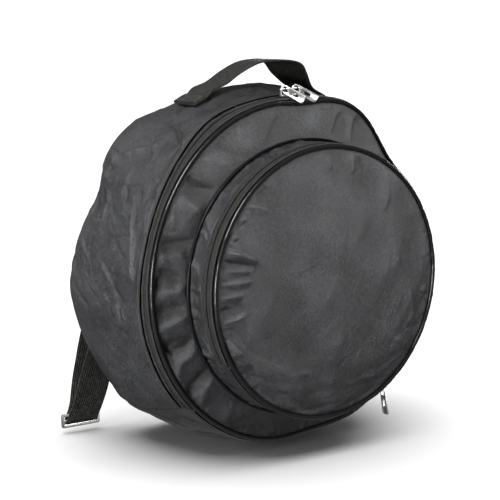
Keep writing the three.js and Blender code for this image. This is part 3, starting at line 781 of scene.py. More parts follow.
frontPanel = {"thick": 1.3, "columns": 540, "edge": 173.1, "foldDepth": 1.4, "shade": 1.1, "shadeContrast": 1.3,
              "creases": 40, "fadeIn": (140.5, 144.5), "fadeOut": (170.0, 173.0), "push": (138.5, 173.4),
              "turned": False, "allowance": 2.7, "allowanceFrom": (172.8, 175.4),
              "looseIn": (142, 149), "looseOut": (162, 170), "slack": 0.6, "cap": 1.8}
frontFolds = panelStrokes([
    ([(-50, 174), (-53, 164), (-48.5, 141)], 6.5, -3.8, 0.3),
    ([(-57, 174), (-58, 161), (-60, 141)], 6, 2.4, 0.3),
    ([(-62, 172), (-65.5, 166), (-70, 162)], 5, 1.6, 0.4),
    ([(-76, 174), (-73.5, 159), (-70, 141)], 6, -2.8, 0.4),
    ([(-80, 174), (-78, 160), (-76.5, 142)], 5.5, 2.0, 0.4),
    ([(-83, 172), (-84.5, 159), (-87, 144)], 4.5, -2.2, 0.4),
    ([(-86, 174), (-90, 166)], 5, -3.0, 0.2),
    ([(-91, 172), (-91, 151), (-88, 141)], 5, 2.0, 0.5),
    ([(-96, 173), (-97, 158), (-96, 141)], 7, -2.0, 0.3),
    ([(-103.5, 174), (-102.5, 160), (-101, 141)], 5.5, 1.8, 0.6),
    ([(-108, 174), (-112.5, 165), (-113, 153.5), (-109.5, 141)], 4.5, -3.0, -0.7),
    ([(-122.5, 174), (-117.5, 163), (-115, 141)], 6, 2.6, 0.4),
    ([(-131, 174), (-127.5, 163), (-125, 142)], 5.5, -2.6, 0.4),
    ([(-136, 174), (-132, 157), (-130, 142)], 5.5, 1.8, 0.3),
    ([(-148, 172), (-144, 144)], 7, 1.2, 0.4),
    ([(-20, 141), (-14.5, 149), (-7, 166)], 5.5, -3.0, 0.5),
    ([(-25, 142), (-27, 158), (-24, 172)], 7, 1.6, 0.3),
    ([(-36, 142), (-39, 158), (-44, 172)], 7, 1.6, 0.4),
    ([(-31, 141), (-34, 160), (-37, 173)], 5, -1.8, 0.4),
    ([(15, 141), (17.5, 153), (20, 168)], 5, -2.8, 0.5),
    ([(3, 142), (6, 158), (9, 172)], 8, 1.5, 0.3),
    ([(26, 141), (26.5, 161), (27.5, 174)], 5, -2.4, 0.5),
    ([(21, 142), (22.5, 158), (23.5, 172)], 5, 1.5, 0.4),
    ([(35, 142), (39, 158), (43, 172)], 7, 1.5, 0.4),
    ([(60, 142), (62, 158), (64, 173)], 7, -2.0, 0.5),
    ([(84, 142), (87, 158), (90, 172)], 7, 1.8, 0.4),
    ([(108, 142), (105, 158), (104, 173)], 6, -2.2, 0.5),
    ([(132, 142), (136, 158), (137, 172)], 7, 1.8, 0.4),
    ([(164, 142), (161, 158), (160, 172)], 7, -1.8, 0.4),
])
frontRadii = np.concatenate([[0], np.linspace(8, 128, 14), np.linspace(131, 141, 6),
                             np.linspace(142.3, frontPanel["edge"], 24), [173.7, 174.4, 175.2, 176.2, 177.2]])


def frontDepth(radius):
    allowance = frontPanel["allowance"] * ease(radius, *frontPanel["allowanceFrom"])
    return allowance - bagShape["frontPush"] * (1 - ease(radius, *frontPanel["push"]))


frontPiece, ring, rise = ringSheet("frontPanelCloth", frontPanel, frontRadii, frontDepth, frontFolds, panelSource)
loose = ease(ring, *frontPanel["looseIn"]) * (1 - ease(ring, *frontPanel["looseOut"]))
relaxCloth(frontPiece, loose, loose * frontPanel["slack"], frontPanel["cap"])
raisePiece(frontPiece, rise)
closeMiddle(frontPiece)
thicken(frontPiece, frontPanel["thick"])
dress(frontPiece, clothMaterial, "nylon_cloth", "front_panel")
print("back and front panels sewn")

# pocket: a round front, a gusset, and a plain stay between the ends of its zip
pocketFront = {"thick": 1.3, "cells": 160, "edge": 134.2, "depth": -55.1, "allowance": 2.7, "allowanceEdge": 137.6,
               "allowanceFrom": (133.9, 136.2), "domePower": 3.5, "foldDepth": 1.6, "edgeFade": (0.3, 4),
               "creaseCount": 80, "creaseArea": 120, "creases": ((14, 50), (3, 8), (0.15, 0.55)),
               "swells": (12, (36, 100), 0.8),
               "gathers": (8, 0.75, 7), "gatherFade": (0, 3), "gatherLeast": 0.45, "gatherAt": -78, "gatherWide": 45,
               "riseForFullShade": 2.6, "edgeShade": 1.1, "edgeReach": 1.6, "crumple": 0.35,
               "loose": (1, 8), "slackFade": (14, 45), "slack": 0.5, "cap": 1.5}
pocketFolds = panelStrokes([
    ([(-62, 133), (-63.5, 125)], 2.6, 1.5, 0.6),
    ([(-71, 133), (-70, 117), (-70.5, 92)], 5.2, 2.8, 0.6),
    ([(-75, 133), (-74, 116), (-73, 98)], 4.4, -2.2, 0.5),
    ([(-79.5, 133), (-77.5, 116), (-76.5, 100)], 4.2, 2.4, 0.6),
    ([(-84.5, 133), (-83.5, 115), (-82, 96)], 3.8, 2.0, 0.6),
    ([(-90.5, 133), (-90, 120), (-89, 106)], 3.4, 1.9, 0.6),
    ([(-96, 133), (-95, 121)], 3.0, -1.3, 0.5),
    ([(-101.5, 133), (-101, 117), (-99, 102)], 4.0, 2.0, 0.6),
    ([(-107, 132), (-116, 125), (-128, 126)], 3.4, 2.6, 0.8),
    ([(-112, 131), (-120, 121), (-129, 120)], 2.6, 1.4, 0.7),
    ([(-49.5, 133), (-46, 122), (-43, 108)], 3.4, 1.8, 0.6),
    ([(-54, 133), (-55.5, 125)], 2.4, 1.6, 0.6),
    ([(-57.5, 133), (-59, 126)], 2.4, -1.3, 0.5),
    ([(-38, 133), (-32, 128)], 2.6, 1.3, 0.6),
    ([(-43, 133), (-40, 124)], 2.6, -1.2, 0.5),
    ([(-2, 131), (1, 114)], 4.5, 1.3, 0.5),
    ([(11, 132), (15.5, 112)], 4.0, 1.7, 0.6),
    ([(16, 132), (20, 116)], 3.6, -1.2, 0.5),
    ([(96, 100), (111, 116), (121, 116)], 5, 1.8, 0.6),
    ([(104, 130), (112, 132)], 2.2, 1.2, 0.5),
    ([(101, 128), (99, 120)], 2.4, 1.1, 0.5),
    ([(128, 103), (128, 129)], 5, 1.6, 0.6),
    ([(118, 131), (116, 122)], 2.6, -1.2, 0.5),
    ([(31, 104), (44.5, 113)], 7, 1.2, 0.4),
    ([(-152, 98), (-162, 92)], 4, 0.8, 0.5),
    ([(150, 120), (160, 108)], 6, 1.0, 0.4),
])


def roundGrid(cells):
    # a square grid drawn out to a disc, so that its cells stay even
    line = np.linspace(-1, 1, cells + 1)
    across, up = np.meshgrid(line, line)
    wider = np.abs(across) >= np.abs(up)
    reach = np.where(wider, across, up)
    with np.errstate(divide="ignore", invalid="ignore"):
        turn = np.where(wider, up / across, across / up) * math.pi / 4
    turn = np.nan_to_num(turn)
    side = np.where(wider, reach * np.cos(turn), reach * np.sin(turn))
    rise = np.where(wider, reach * np.sin(turn), reach * np.cos(turn))
    return side, rise


side, up = roundGrid(pocketFront["cells"])
side, up = side * pocketFront["allowanceEdge"], up * pocketFront["allowanceEdge"]
ring, angle = np.hypot(side, up), np.degrees(np.arctan2(side, up))
edge = np.maximum(pocketFront["edge"] - ring, 0)
behind = pocketFront["allowance"] * ease(ring, *pocketFront["allowanceFrom"])  # the cut edge runs on behind the cord
pocketSource = np.random.default_rng(33)
area = pocketFront["creaseArea"]
small = creases(pocketSource, pocketFront["creaseCount"], (-area, -area), (area, area), *pocketFront["creases"])
rise = pocketFront["foldDepth"] * strokeRise(side, up, pocketFolds + small)
rise = (rise + swells(pocketSource, side, up, *pocketFront["swells"])) * ease(edge, *pocketFront["edgeFade"])
least = pocketFront["gatherLeast"]
leftShare = least + (1 - least) * hump(turnBetween(angle, pocketFront["gatherAt"]), pocketFront["gatherWide"])
ruffle = gathers(pocketSource, arc(angle, pocketFront["edge"]), edge, *pocketFront["gathers"])
rise = rise + ruffle * ease(edge, *pocketFront["gatherFade"]) * leftShare
bowl = np.minimum(ring / pocketFront["edge"], 1) ** pocketFront["domePower"]
dome = pocketShape["dome"] * (1 - bowl) - behind
points = np.stack([side, pocketFront["depth"] - halfDepth - dome - pressed * rise,
                   bagShape["axisHeight"] - pocketShape["drop"] + up], -1)
pocketPiece = gridPiece("pocketFrontCloth", points, np.stack([side, up], -1))
# painted shade: darker at the pocket front's edge by the piping
edgeShade = pocketFront["edgeShade"] * hump(edge, pocketFront["edgeReach"])
markFold(pocketPiece, rise / pocketFront["riseForFullShade"] - edgeShade, pocketFront["crumple"])
loose = ease(edge, *pocketFront["loose"])
slack = loose * (1 - ease(edge, *pocketFront["slackFade"])) * pocketFront["slack"]
relaxCloth(pocketPiece, loose, slack, pocketFront["cap"])
raisePiece(pocketPiece, relaxed * rise.ravel())
thicken(pocketPiece, pocketFront["thick"])
dress(pocketPiece, clothMaterial, "nylon_cloth", "pocket_front")

bandLook = {"riseForFullShade": 2.0, "shadeAt": 2, "shadeReach": 40, "crumple": 1.0}


def bandPiece(name, place, radius, depths, span, size, sag, shade=0):
    closed = span[1] - span[0] >= 360
    trim = 0 if closed else math.degrees(bagShape["seam"] / radius)
    angle = np.linspace(span[0] + trim, span[1] - trim, size["columns"], endpoint=not closed)[None, :]
    depth = np.linspace(*depths, size["rows"])[:, None]
    points = place(angle, radius, depth)
    rise = sag(*np.broadcast_arrays(angle, depth))
    points = points + gridNormals(points, closed) * rise[..., None]
    around = np.append(angle, [[span[1]]], 1) if closed else angle
    piece = gridPiece(name, points, np.stack(np.broadcast_arrays(arc(around, radius), depth), -1), closed)
    # painted shade: darker around the band's top, scaled by shade, as well as in its hollows
    shade = shade * hump(turnBetween(angle, bandLook["shadeAt"]), bandLook["shadeReach"])
    markFold(piece, rise / bandLook["riseForFullShade"] - shade, bandLook["crumple"])
    thicken(piece, size["thick"])
    return piece


# creases of a band: number, lowest and highest place, length, width, rise and lie
pocketGusset = {"thick": 1.3, "columns": 640, "rows": 17, "shade": 1.0, "belly": -1.0, "bellyReach": 9, "edgeReach": 4,
                "foldRange": (-3.0, 2.6), "seamWide": 0.5, "seamSink": 2.5,
                "creases": (120, (-438, -36), (438, -9), (14, 36), (1.5, 3.2), (0.8, 2.6), 60)}
gussetStrokes = creases(np.random.default_rng(44), *pocketGusset["creases"])


def gussetSag(angle, depth):
    size = pocketGusset
    ends = np.minimum(depth - pocketShape["gussetFront"], pocketShape["back"] - depth)
    zipEnds = (pocketShape["zipFrom"], pocketShape["zipTo"])
    seams = sum(hump(turnBetween(angle, at), size["seamWide"]) for at in zipEnds)
    folds = np.clip(strokeRise(arc(angle, pocketShape["radius"]), depth, gussetStrokes), *size["foldRange"])
    belly = size["belly"] * ease(ends, 0, size["bellyReach"])
    return (folds + belly) * ease(ends, 0, size["edgeReach"]) * (1 - seams) - size["seamSink"] * seams


# the gusset takes painted shade along its top
gussetPiece = bandPiece("pocketGussetCloth", pocketPlace, pocketShape["radius"],
                        (pocketShape["gussetFront"], pocketShape["back"]), (-180, 180), pocketGusset, gussetSag,
                        pocketGusset["shade"])
dress(gussetPiece, clothMaterial, "nylon_cloth", "pocket_gusset")

zipStay = {"thick": 1.3, "columns": 170, "rows": 12, "lap": 1.3, "belly": 0.8, "edgeReach": 4, "endSink": 2.2,
           "endReach": (0.2, 0.9), "creases": (14, (365, -52), (585, -34), (12, 30), (2.5, 5), (0.3, 0.8))}
stayStrokes = creases(np.random.default_rng(9), *zipStay["creases"])


def staySag(angle, depth):
    ends = np.minimum(depth - pocketShape["stayFront"], pocketShape["stayBack"] - depth)
    fromZip = np.minimum(angle - pocketShape["zipTo"], 360 + pocketShape["zipFrom"] - angle)
    folds = strokeRise(arc(angle, pocketShape["radius"]), depth, stayStrokes) - zipStay["belly"]
    return folds * ease(ends, 0, zipStay["edgeReach"]) - zipStay["endSink"] * (1 - ease(fromZip, *zipStay["endReach"]))


staySpan = (pocketShape["zipTo"] - zipStay["lap"], 360 + pocketShape["zipFrom"] + zipStay["lap"])
stayPiece = bandPiece("pocketStayCloth", pocketPlace, pocketShape["radius"],
                      (pocketShape["stayFront"], pocketShape["stayBack"]), staySpan, zipStay, staySag)
dress(stayPiece, clothMaterial, "nylon_cloth", "pocket_zip_stay")
print("pocket sewn")

# piping: a covered cord in each seam, a torus that follows the rim
pipings = {
    "frontPiping": {"radius": 176, "depth": 0, "thick": 4.3, "pucker": 0.16, "place": bagPlace,
                    "material": pipingMaterial, "node": "front_piping"},
    "pocketPiping": {"radius": 137, "depth": -55.1, "thick": 4.3, "pucker": 0.16, "place": pocketPlace,
                     "material": pipingMaterial, "node": "pocket_piping"},
    "pocketBasePiping": {"radius": 141.4, "depth": -12.9, "thick": 3.0, "pucker": 0.2, "place": pocketPlace,
                         "material": mattPipingMaterial, "node": "pocket_base_piping"},
}
cordRing = {"around": 480, "across": 14, "waves": (23, 41, 67, 97, 131)}
pipingSource = np.random.default_rng(3)
for name, size in pipings.items():
    bpy.ops.object.select_all(action="DESELECT")
    bpy.ops.mesh.primitive_torus_add(major_segments=cordRing["around"], minor_segments=cordRing["across"],
                                     major_radius=size["radius"] * mm, minor_radius=size["thick"] / 2 * mm)
    piece = bpy.context.object
    piece.name = piece.data.name = name
    spots = np.array([vertex.co for vertex in piece.data.vertices]) / mm
    angle = np.degrees(np.arctan2(spots[:, 0], spots[:, 1]))
    offset = np.hypot(spots[:, 0], spots[:, 1]) - size["radius"]
    along = np.radians(angle) * size["radius"]
    waves = [np.cos(along * turns / size["radius"] + pipingSource.uniform(0, fullTurn)) for turns in cordRing["waves"]]
    swell = 1 + sum(size["pucker"] / 4 * wave for wave in waves)
    placed = size["place"](angle, size["radius"] + offset * swell, size["depth"] - spots[:, 2] * swell)
    piece.data.vertices.foreach_set("co", (placed * mm).astype(np.float32).ravel())
    layer = piece.data.uv_layers[0]
    flat = np.zeros(len(layer.data) * 2, np.float32)
    layer.data.foreach_get("uv", flat)
    flat = flat.reshape(-1, 2) * np.array([2 * math.pi * size["radius"] * mm, math.pi * size["thick"] * mm])
    layer.data.foreach_set("uv", flat.astype(np.float32).ravel())
    setMode("EDIT")
    bpy.ops.mesh.select_all(action="SELECT")
    bpy.ops.mesh.normals_make_consistent(inside=False)
    setMode("OBJECT")
    bpy.ops.object.shade_smooth()
    dress(piece, size["material"], "piping", size["node"])
print("piping laid")

# zip tapes: a dip sinks the tape under the cloth between two depths
mainZip = {"place": bagPlace, "span": (-135, 135)}
pocketZip = {"place": pocketPlace, "span": (pocketShape["zipFrom"], pocketShape["zipTo"])}
zipTapes = {
    "mainTapeFront": {**mainZip, "radius": 178.6, "depths": (2.9, 10.4), "rows": 6, "dip": 0.0,
                      "dipSpan": (0, 1), "node": "main_zip_tape_front"},
    "mainTapeRear": {**mainZip, "radius": 178.4, "depths": (14.4, 27.6), "rows": 16, "dip": 2.5,
                     "dipSpan": (19.9, 22.3), "node": "main_zip_tape_rear"},
    "pocketTapeRear": {**pocketZip, "radius": 139.5, "depths": (-41.3, -34.3), "rows": 6, "dip": 0.5,
                       "dipSpan": (-36, -34.3), "node": "pocket_zip_tape_rear"},
    "pocketTapeFront": {**pocketZip, "radius": 139.5, "depths": (-52.3, -45.3), "rows": 6, "dip": 0.0,
                        "dipSpan": (0, 1), "node": "pocket_zip_tape_front"},
}
zipTape = {"columns": 420, "thick": 1.0, "ripple": 0.16, "waves": 4, "waveLong": (15, 60), "edgeReach": 3}
tapeSource = np.random.default_rng(17)
for name, size in zipTapes.items():
    waves = [(tapeSource.uniform(*zipTape["waveLong"]), tapeSource.uniform(0, fullTurn))
             for _ in range(zipTape["waves"])]

    def tapeSag(angle, depth):
        along = arc(angle, size["radius"])
        ends = np.minimum(depth - size["depths"][0], size["depths"][1] - depth)
        wave = sum(np.cos(along * 2 * math.pi / length + phase) for length, phase in waves)
        ripple = zipTape["ripple"] * wave * ease(ends, 0, zipTape["edgeReach"])
        return ripple - size["dip"] * ease(depth, *size["dipSpan"])

    piece = bandPiece(name, size["place"], size["radius"], size["depths"], size["span"], {**zipTape, **size}, tapeSag)
    dress(piece, tapeMaterial, "zip_tape", size["node"])

# zip coils: one loop of the coil is modelled and copied along the zip
zipCoils = {
    "mainCoil": {"place": bagPlace, "radius": 178.6, "depth": 12.4, "span": (-134.6, 134.6), "node": "main_zip_coil"},
    "pocketCoil": {"place": pocketPlace, "radius": 139.5, "depth": -43.3, "span": (-119.6, 149.6),
                   "node": "pocket_zip_coil"},
}
coilLoop = {"pitch": 1.55, "long": 3.1, "wide": 1.15, "high": 1.7, "edge": 0.42, "sink": 1.15}


def addBlock(name, size, place=(0, 0, 0)):
    bpy.ops.object.select_all(action="DESELECT")
    bpy.ops.mesh.primitive_cube_add(size=1, location=place, scale=size)
    piece = bpy.context.object
    piece.name = piece.data.name = name
    bpy.ops.object.transform_apply(location=True, rotation=True, scale=True)
    return piece


def unit(vectors):
    return vectors / np.linalg.norm(vectors, axis=-1, keepdims=True)


def copyAlong(name, model, places, alongs, outs):
    # model is drawn in millimetres: X along, Z outwards
    points = np.array([vertex.co for vertex in model.data.vertices])
    faces = [tuple(face.vertices) for face in model.data.polygons]
    frames = np.stack([alongs, np.cross(outs, alongs), outs], -1)
    copies = np.einsum("nij,vj->nvi", frames, points) + places[:, None, :]
    starts = range(0, len(places) * len(points), len(points))
    allFaces = [tuple(corner + first for corner in face) for first in starts for face in faces]
    piece = meshPiece(name, copies.reshape(-1, 3), allFaces)
    smoothBy(piece, 50)
    return piece


def copyRound(name, model, row, pitch, sink=0):
    radius = row["radius"] - sink
    angles = np.arange(*row["span"], math.degrees(pitch / row["radius"]))
    here = row["place"](angles, radius, row["depth"])
    alongs = unit(row["place"](angles + 0.2, radius, row["depth"]) - here)
    side, up = onRing(angles, 1)
    outs = np.stack([side, np.zeros(len(angles)), up], -1)
    outs = unit(outs - alongs * (outs * alongs).sum(1, keepdims=True))
    return copyAlong(name, model, here, alongs, outs)


loopModel = addBlock("coilLoopModel", (coilLoop["wide"], coilLoop["long"], coilLoop["high"]))
finishBy(loopModel, "BEVEL", width=coilLoop["edge"], segments=2, limit_method="NONE")
for name, size in zipCoils.items():
    piece = copyRound(name, loopModel, size, coilLoop["pitch"], coilLoop["sink"])
    dress(piece, coilMaterial, "zip_coil", size["node"])
bpy.data.objects.remove(loopModel)
print("zips made")

# sliders: a shield-shaped body with a bridge, drawn in millimetres
sliderSize = {"long": 11, "wide": 7.2, "thick": 2.2, "nose": 0.62, "corner": 1.9, "inset": 1.0, "sink": 0.35,
              "edge": 0.38, "post": 2.0, "bridgeRise": 5.6, "bridgeRod": 1.6, "bridgeFoot": 1.4, "bridgeCorner": 1.3,
              "bridgeEdge": 0.34}
near, facing = 0.01, 0.9  # how close a place or a normal has to be when parts of a mesh are picked


def startPick(piece, kind):
    activate(piece)
    setMode("EDIT")
    bpy.ops.mesh.select_mode(type=kind)
    bpy.ops.mesh.select_all(action="DESELECT")
    setMode("OBJECT")


def pickVertices(piece, test):
    startPick(piece, "VERT")
    for vertex in piece.data.vertices:
        vertex.select = test(vertex.co)
    setMode("EDIT")


def pickFaces(piece, test):
    startPick(piece, "FACE")
    for face in piece.data.polygons:
        face.select = test(face.center, face.normal)
    setMode("EDIT")


def bevelEdges(piece, test, offset, segments):
    startPick(piece, "EDGE")
    spots = [vertex.co for vertex in piece.data.vertices]
    for edge in piece.data.edges:
        edge.select = test(spots[edge.vertices[0]], spots[edge.vertices[1]])
    setMode("EDIT")
    bpy.ops.mesh.bevel(offset=offset, segments=segments, affect="EDGES")
    setMode("OBJECT")


def uprightAt(end):
    return lambda one, two: min(one.x, two.x) > end - near and abs(one.z - two.z) > 1


def extrude(*move):
    bpy.ops.mesh.extrude_region_move(TRANSFORM_OT_translate={"value": move})


def boolPieces(piece, other, operation):
    finishBy(piece, "BOOLEAN", object=other, operation=operation, solver="EXACT")
    bpy.data.objects.remove(other)


def placePiece(piece, matrix):
    piece.data.transform(Matrix.Diagonal((mm, mm, mm, 1)) @ matrix)
    piece.data.update()


def sliderModel(name):
    size = sliderSize
    body = addBlock(name, (size["long"], size["wide"], size["thick"]), (0, 0, size["thick"] / 2))
    half, post, rod, foot = size["long"] / 2, size["post"], size["bridgeRod"], size["bridgeFoot"]
    pickVertices(body, lambda spot: spot.x < 0)
    bpy.ops.transform.resize(value=(1, size["nose"], 1), center_override=(0, 0, 0))
    setMode("OBJECT")
    bevelEdges(body, uprightAt(half), size["corner"], 5)
    pickFaces(body, lambda centre, normal: normal.z > facing)
    bpy.ops.mesh.inset(thickness=size["inset"], depth=0)
    bpy.ops.transform.translate(value=(0, 0, -size["sink"]))
    setMode("OBJECT")
    roundEdges(body, size["edge"])
    top = size["thick"] + size["bridgeRise"] + rod / 2
    bridge = addBlock(name + "Bridge", (post, rod, top - rod - foot), (post / 2 - half, 0, (top - rod + foot) / 2))
    pickFaces(bridge, lambda centre, normal: normal.z > facing)
    extrude(0, 0, rod)
    setMode("OBJECT")
    pickFaces(bridge, lambda centre, normal: normal.x > facing and centre.z > top - rod)
    extrude(size["long"] - 2 * post, 0, 0)
    extrude(post, 0, 0)
    setMode("OBJECT")
    pickFaces(bridge, lambda centre, normal: normal.z < -facing and centre.x > half - post)
    extrude(0, 0, -(top - rod - foot))
    setMode("OBJECT")

    def onTop(one, two):
        return min(one.z, two.z) > top - near and min(abs(one.x), abs(two.x)) > half - near

    bevelEdges(bridge, onTop, size["bridgeCorner"], 4)
    roundEdges(bridge, size["bridgeEdge"])
    boolPieces(body, bridge, "UNION")
    smoothBy(body, 35)
    return body


# pulls: a plate with an eye, a slot and a raised rim
pullSize = {"long": 30.5, "halfWide": 4.5, "thick": 1.6, "corner": 2.4, "eyeRadius": 2.6, "eyeOutside": 3.9,
            "eyeLong": 3.4, "slotRadius": 1.6, "slotFrom": 11.5, "slotTo": 17, "rim": 1.15, "recess": 0.28,
            "recessFrom": 9.3, "recessTo": 23.0, "edge": 0.24, "hang": 0.4}
cutterLong = 10


def slotCutter(start, end, radius, rise=0):
    bpy.ops.object.select_all(action="DESELECT")
    bpy.ops.mesh.primitive_cylinder_add(vertices=32, radius=radius, depth=cutterLong, location=(0, 0, 0))
    cutter = bpy.context.object
    pickVertices(cutter, lambda spot: spot.x > 0.001)
    bpy.ops.transform.translate(value=(end - start, 0, 0))
    setMode("OBJECT")
    cutter.location = (start, 0, rise)
    activate(cutter)
    bpy.ops.object.transform_apply(location=True)
    return cutter


def pullModel(name):
    size = pullSize
    end = size["long"] - size["eyeOutside"]
    plate = addBlock(name, (end, 2 * size["halfWide"], size["thick"]), (end / 2, 0, 0))
    pickVertices(plate, lambda spot: spot.x < near)
    bpy.ops.transform.resize(value=(1, size["eyeOutside"] / size["halfWide"], 1), center_override=(0, 0, 0))
    setMode("OBJECT")
    bevelEdges(plate, uprightAt(end), size["corner"], 6)
    bpy.ops.object.select_all(action="DESELECT")
    bpy.ops.mesh.primitive_cylinder_add(vertices=48, radius=size["eyeOutside"], depth=size["thick"], location=(0, 0, 0))
    boolPieces(plate, bpy.context.object, "UNION")
    rise = cutterLong / 2 + size["thick"] / 2 - size["recess"]
    inner = size["halfWide"] - size["rim"]
    for face in (1, -1):
        boolPieces(plate, slotCutter(size["recessFrom"], size["recessTo"], inner, face * rise), "DIFFERENCE")
    boolPieces(plate, slotCutter(0, size["eyeLong"], size["eyeRadius"]), "DIFFERENCE")
    boolPieces(plate, slotCutter(size["slotFrom"], size["slotTo"], size["slotRadius"]), "DIFFERENCE")
    roundEdges(plate, size["edge"], 2)
    smoothBy(plate, 35)
    return plate


def seatMatrix(place, angle, depth, radius):
    spot = place(angle, radius, depth)
    turn = math.radians(angle)
    along, back, out = (math.cos(turn), 0, -math.sin(turn)), (0, 1, 0), (math.sin(turn), 0, math.cos(turn))
    return Matrix.Translation(Vector(spot)) @ Matrix((along, back, out)).transposed().to_4x4()


def aimMatrix(length, face, place):
    ahead = Vector(length).normalized()
    upward = (Vector(face) - ahead * Vector(face).dot(ahead)).normalized()
    return Matrix.Translation(Vector(place)) @ Matrix((ahead, upward.cross(ahead), upward)).transposed().to_4x4()


bridgeHeight = sliderSize["thick"] + sliderSize["bridgeRise"]
zipSeats = {
    "mainSliderLeft": {"seat": seatMatrix(bagPlace, -2.1, 12.4, 178.9), "node": "main_slider_left"},
    "mainSliderRight": {"seat": seatMatrix(bagPlace, 2.3, 12.4, 178.9), "node": "main_slider_right"},
    "pocketSlider": {"seat": seatMatrix(pocketPlace, 147, -43.3, 139.8), "node": "pocket_slider"},
}
for name, size in zipSeats.items():
    piece = sliderModel(name)
    placePiece(piece, size["seat"])
    dress(piece, nickelMaterial, "nickel", size["node"])

mainLays = {
    "Left": {"along": (7, -21, -10), "face": (-0.8, -0.42, 0.43), "body": "left_pull", "node": "main_pull_left"},
    "Right": {"along": (10, -20, -9.5), "face": (-0.82, -0.2, 0.54), "body": "right_pull", "node": "main_pull_right"},
}
for sideName, lay in mainLays.items():
    piece = pullModel("mainPull" + sideName)
    hang = Vector((0, 0, bridgeHeight)) + Vector(lay["along"]).normalized() * pullSize["hang"]
    placePiece(piece, zipSeats["mainSlider" + sideName]["seat"] @ aimMatrix(lay["along"], lay["face"], hang))
    dress(piece, nickelMaterial, "nickel", lay["node"], body=lay["body"])

pocketLay = {"lean": 10, "gap": 0.3}
pocketSeat = zipSeats["pocketSlider"]["seat"]
lean = math.radians(pocketLay["lean"])
fall = pocketSeat.to_3x3().inverted() @ Vector((math.sin(lean), 0, -math.cos(lean)))
eyeBar = (pullSize["eyeOutside"] + pullSize["eyeRadius"]) / 2
eyeReach = math.hypot((pullSize["eyeOutside"] - pullSize["eyeRadius"]) / 2, pullSize["thick"] / 2)
under = bridgeHeight - sliderSize["bridgeRod"] / 2 - pocketLay["gap"] - eyeReach
piece = pullModel("pocketPull")
placePiece(piece, pocketSeat @ aimMatrix(fall, (1, 0, 0), Vector((0, 0, under)) + fall * eyeBar))
dress(piece, nickelMaterial, "nickel", "pocket_pull", body="pocket_pull")
print("sliders and pulls hung")

# webbing: a flat band with rounded edges along a route
webbingEdge = {"columns": 18, "round": 0.62, "doubled": 1.7, "step": 2.2, "waves": 3, "waveLong": (30, 90),
               "waver": 0.12}


def smoothRoute(points, perSpan):
    points = np.asarray(points, float)
    last = len(points) - 1
    route = []
    for number in range(last):
        before, here = points[max(number - 1, 0)], points[number]
        there, after = points[number + 1], points[min(number + 2, last)]
        leave, reach = (there - before) / 2, (after - here) / 2
        for share in np.arange(perSpan) / perSpan:
            curve = (2 * here - 2 * there + leave + reach) * share ** 3
            curve = curve + (-3 * here + 3 * there - 2 * leave - reach) * share ** 2
            route.append(curve + leave * share + here)
    route.append(points[last])
    return np.array(route)


def runAlong(route):
    return np.concatenate([[0], np.cumsum(np.linalg.norm(np.diff(route, axis=0), axis=1))])


def webbingPiece(name, route, size, spread, source):
    # route is the middle line in the band's side view; spread turns a side offset into a place
    # folded is the length at each end that lies double
    wide, thick, folded = size["wide"], size["thick"], size["folded"]
    run = runAlong(route)
    ahead = unit(np.gradient(route, axis=0))
    across = np.stack([-ahead[:, 1], ahead[:, 0]], -1)
    half = np.linspace(-1, 1, webbingEdge["columns"])
    rim = 2 * thick / wide  # share of the half width that rounds off
    past = np.maximum(np.abs(half) - (1 - rim), 0) / rim
    crown = np.sqrt(np.clip(1 - past ** 2 * (1 - webbingEdge["round"] ** 2), 0, 1))
    around = np.concatenate([half, half[::-1]])
    level = np.concatenate([crown, -crown[::-1]])[None, :] * thick / 2
    if folded:
        single = ease(np.minimum(run, run[-1] - run), folded, folded + webbingEdge["step"])
        level = level * (1 + webbingEdge["doubled"] * (level > 0) * (1 - single)[:, None])
    level = np.broadcast_to(level, (len(run), level.shape[1]))
    waves = [np.cos(run * 2 * math.pi / source.uniform(*webbingEdge["waveLong"]) + source.uniform(0, fullTurn))
             for _ in range(webbingEdge["waves"])]
    waver = sum(waves) * webbingEdge["waver"]
    sides = around[None, :] * (wide / 2 + waver[:, None] * np.abs(around)[None, :] ** 4)
    points = spread(route[:, None, :] + across[:, None, :] * level[..., None], sides)
    uvAcross = np.concatenate([half, half[::-1] + 2.05]) * wide / 2  # the two faces lie side by side
    uvAcross = np.append(uvAcross, uvAcross[0])
    uv = np.stack(np.broadcast_arrays(run[:, None], uvAcross[None, :]), -1)
    piece = gridPiece(name, points, uv, True)
    setMode("EDIT")
    bpy.ops.mesh.select_mode(type="EDGE")
    bpy.ops.mesh.select_all(action="DESELECT")
    bpy.ops.mesh.select_non_manifold()
    bpy.ops.mesh.fill_holes(sides=0)
    bpy.ops.mesh.select_all(action="SELECT")
    bpy.ops.mesh.normals_make_consistent(inside=False)
    setMode("OBJECT")
    smoothBy(piece, 45)
    return piece


topHandle = {"wide": 40, "thick": 2.2, "folded": 15, "depth": 95, "bendAt": 54, "bendReach": 17, "skew": -0.5,
             "sewn": (2.5, 12.5)}


def onWall(angle, rise):
    spot = bagPlace(angle, bagShape["wallRadius"], topHandle["depth"])
    turn = math.radians(angle)
    return np.array([spot[0] + rise * math.sin(turn), spot[2] + rise * math.cos(turn)])


footRise = topHandle["thick"] / 2 + bagShape["seam"]
handleRoute = [onWall(angle, footRise) for angle in (-23.5, -21, -18.5)] + [onWall(-15.5, footRise + 3.5)]
handleRoute += [(-35, 374), (-16, 385), (8, 394.5), (36, 396), (51, 392), (60, 381), (74, 366)]
handleRoute += [onWall(28.5, footRise + 6)] + [onWall(angle, footRise) for angle in (31.5, 34.5, 37.5)]


def spreadHandle(flat, sides):
    bend = hump(flat[..., 0] - topHandle["bendAt"], topHandle["bendReach"])
    across = flat[..., 0] + topHandle["skew"] * sides * bend
    return np.stack([across, topHandle["depth"] - halfDepth + sides, flat[..., 1]], -1)


webSource = np.random.default_rng(12)
handleLine = smoothRoute(handleRoute, 14)
handlePiece = webbingPiece("topHandleWebbing", handleLine, topHandle, spreadHandle, webSource)
dress(handlePiece, webbingMaterial, "webbing", "top_handle")

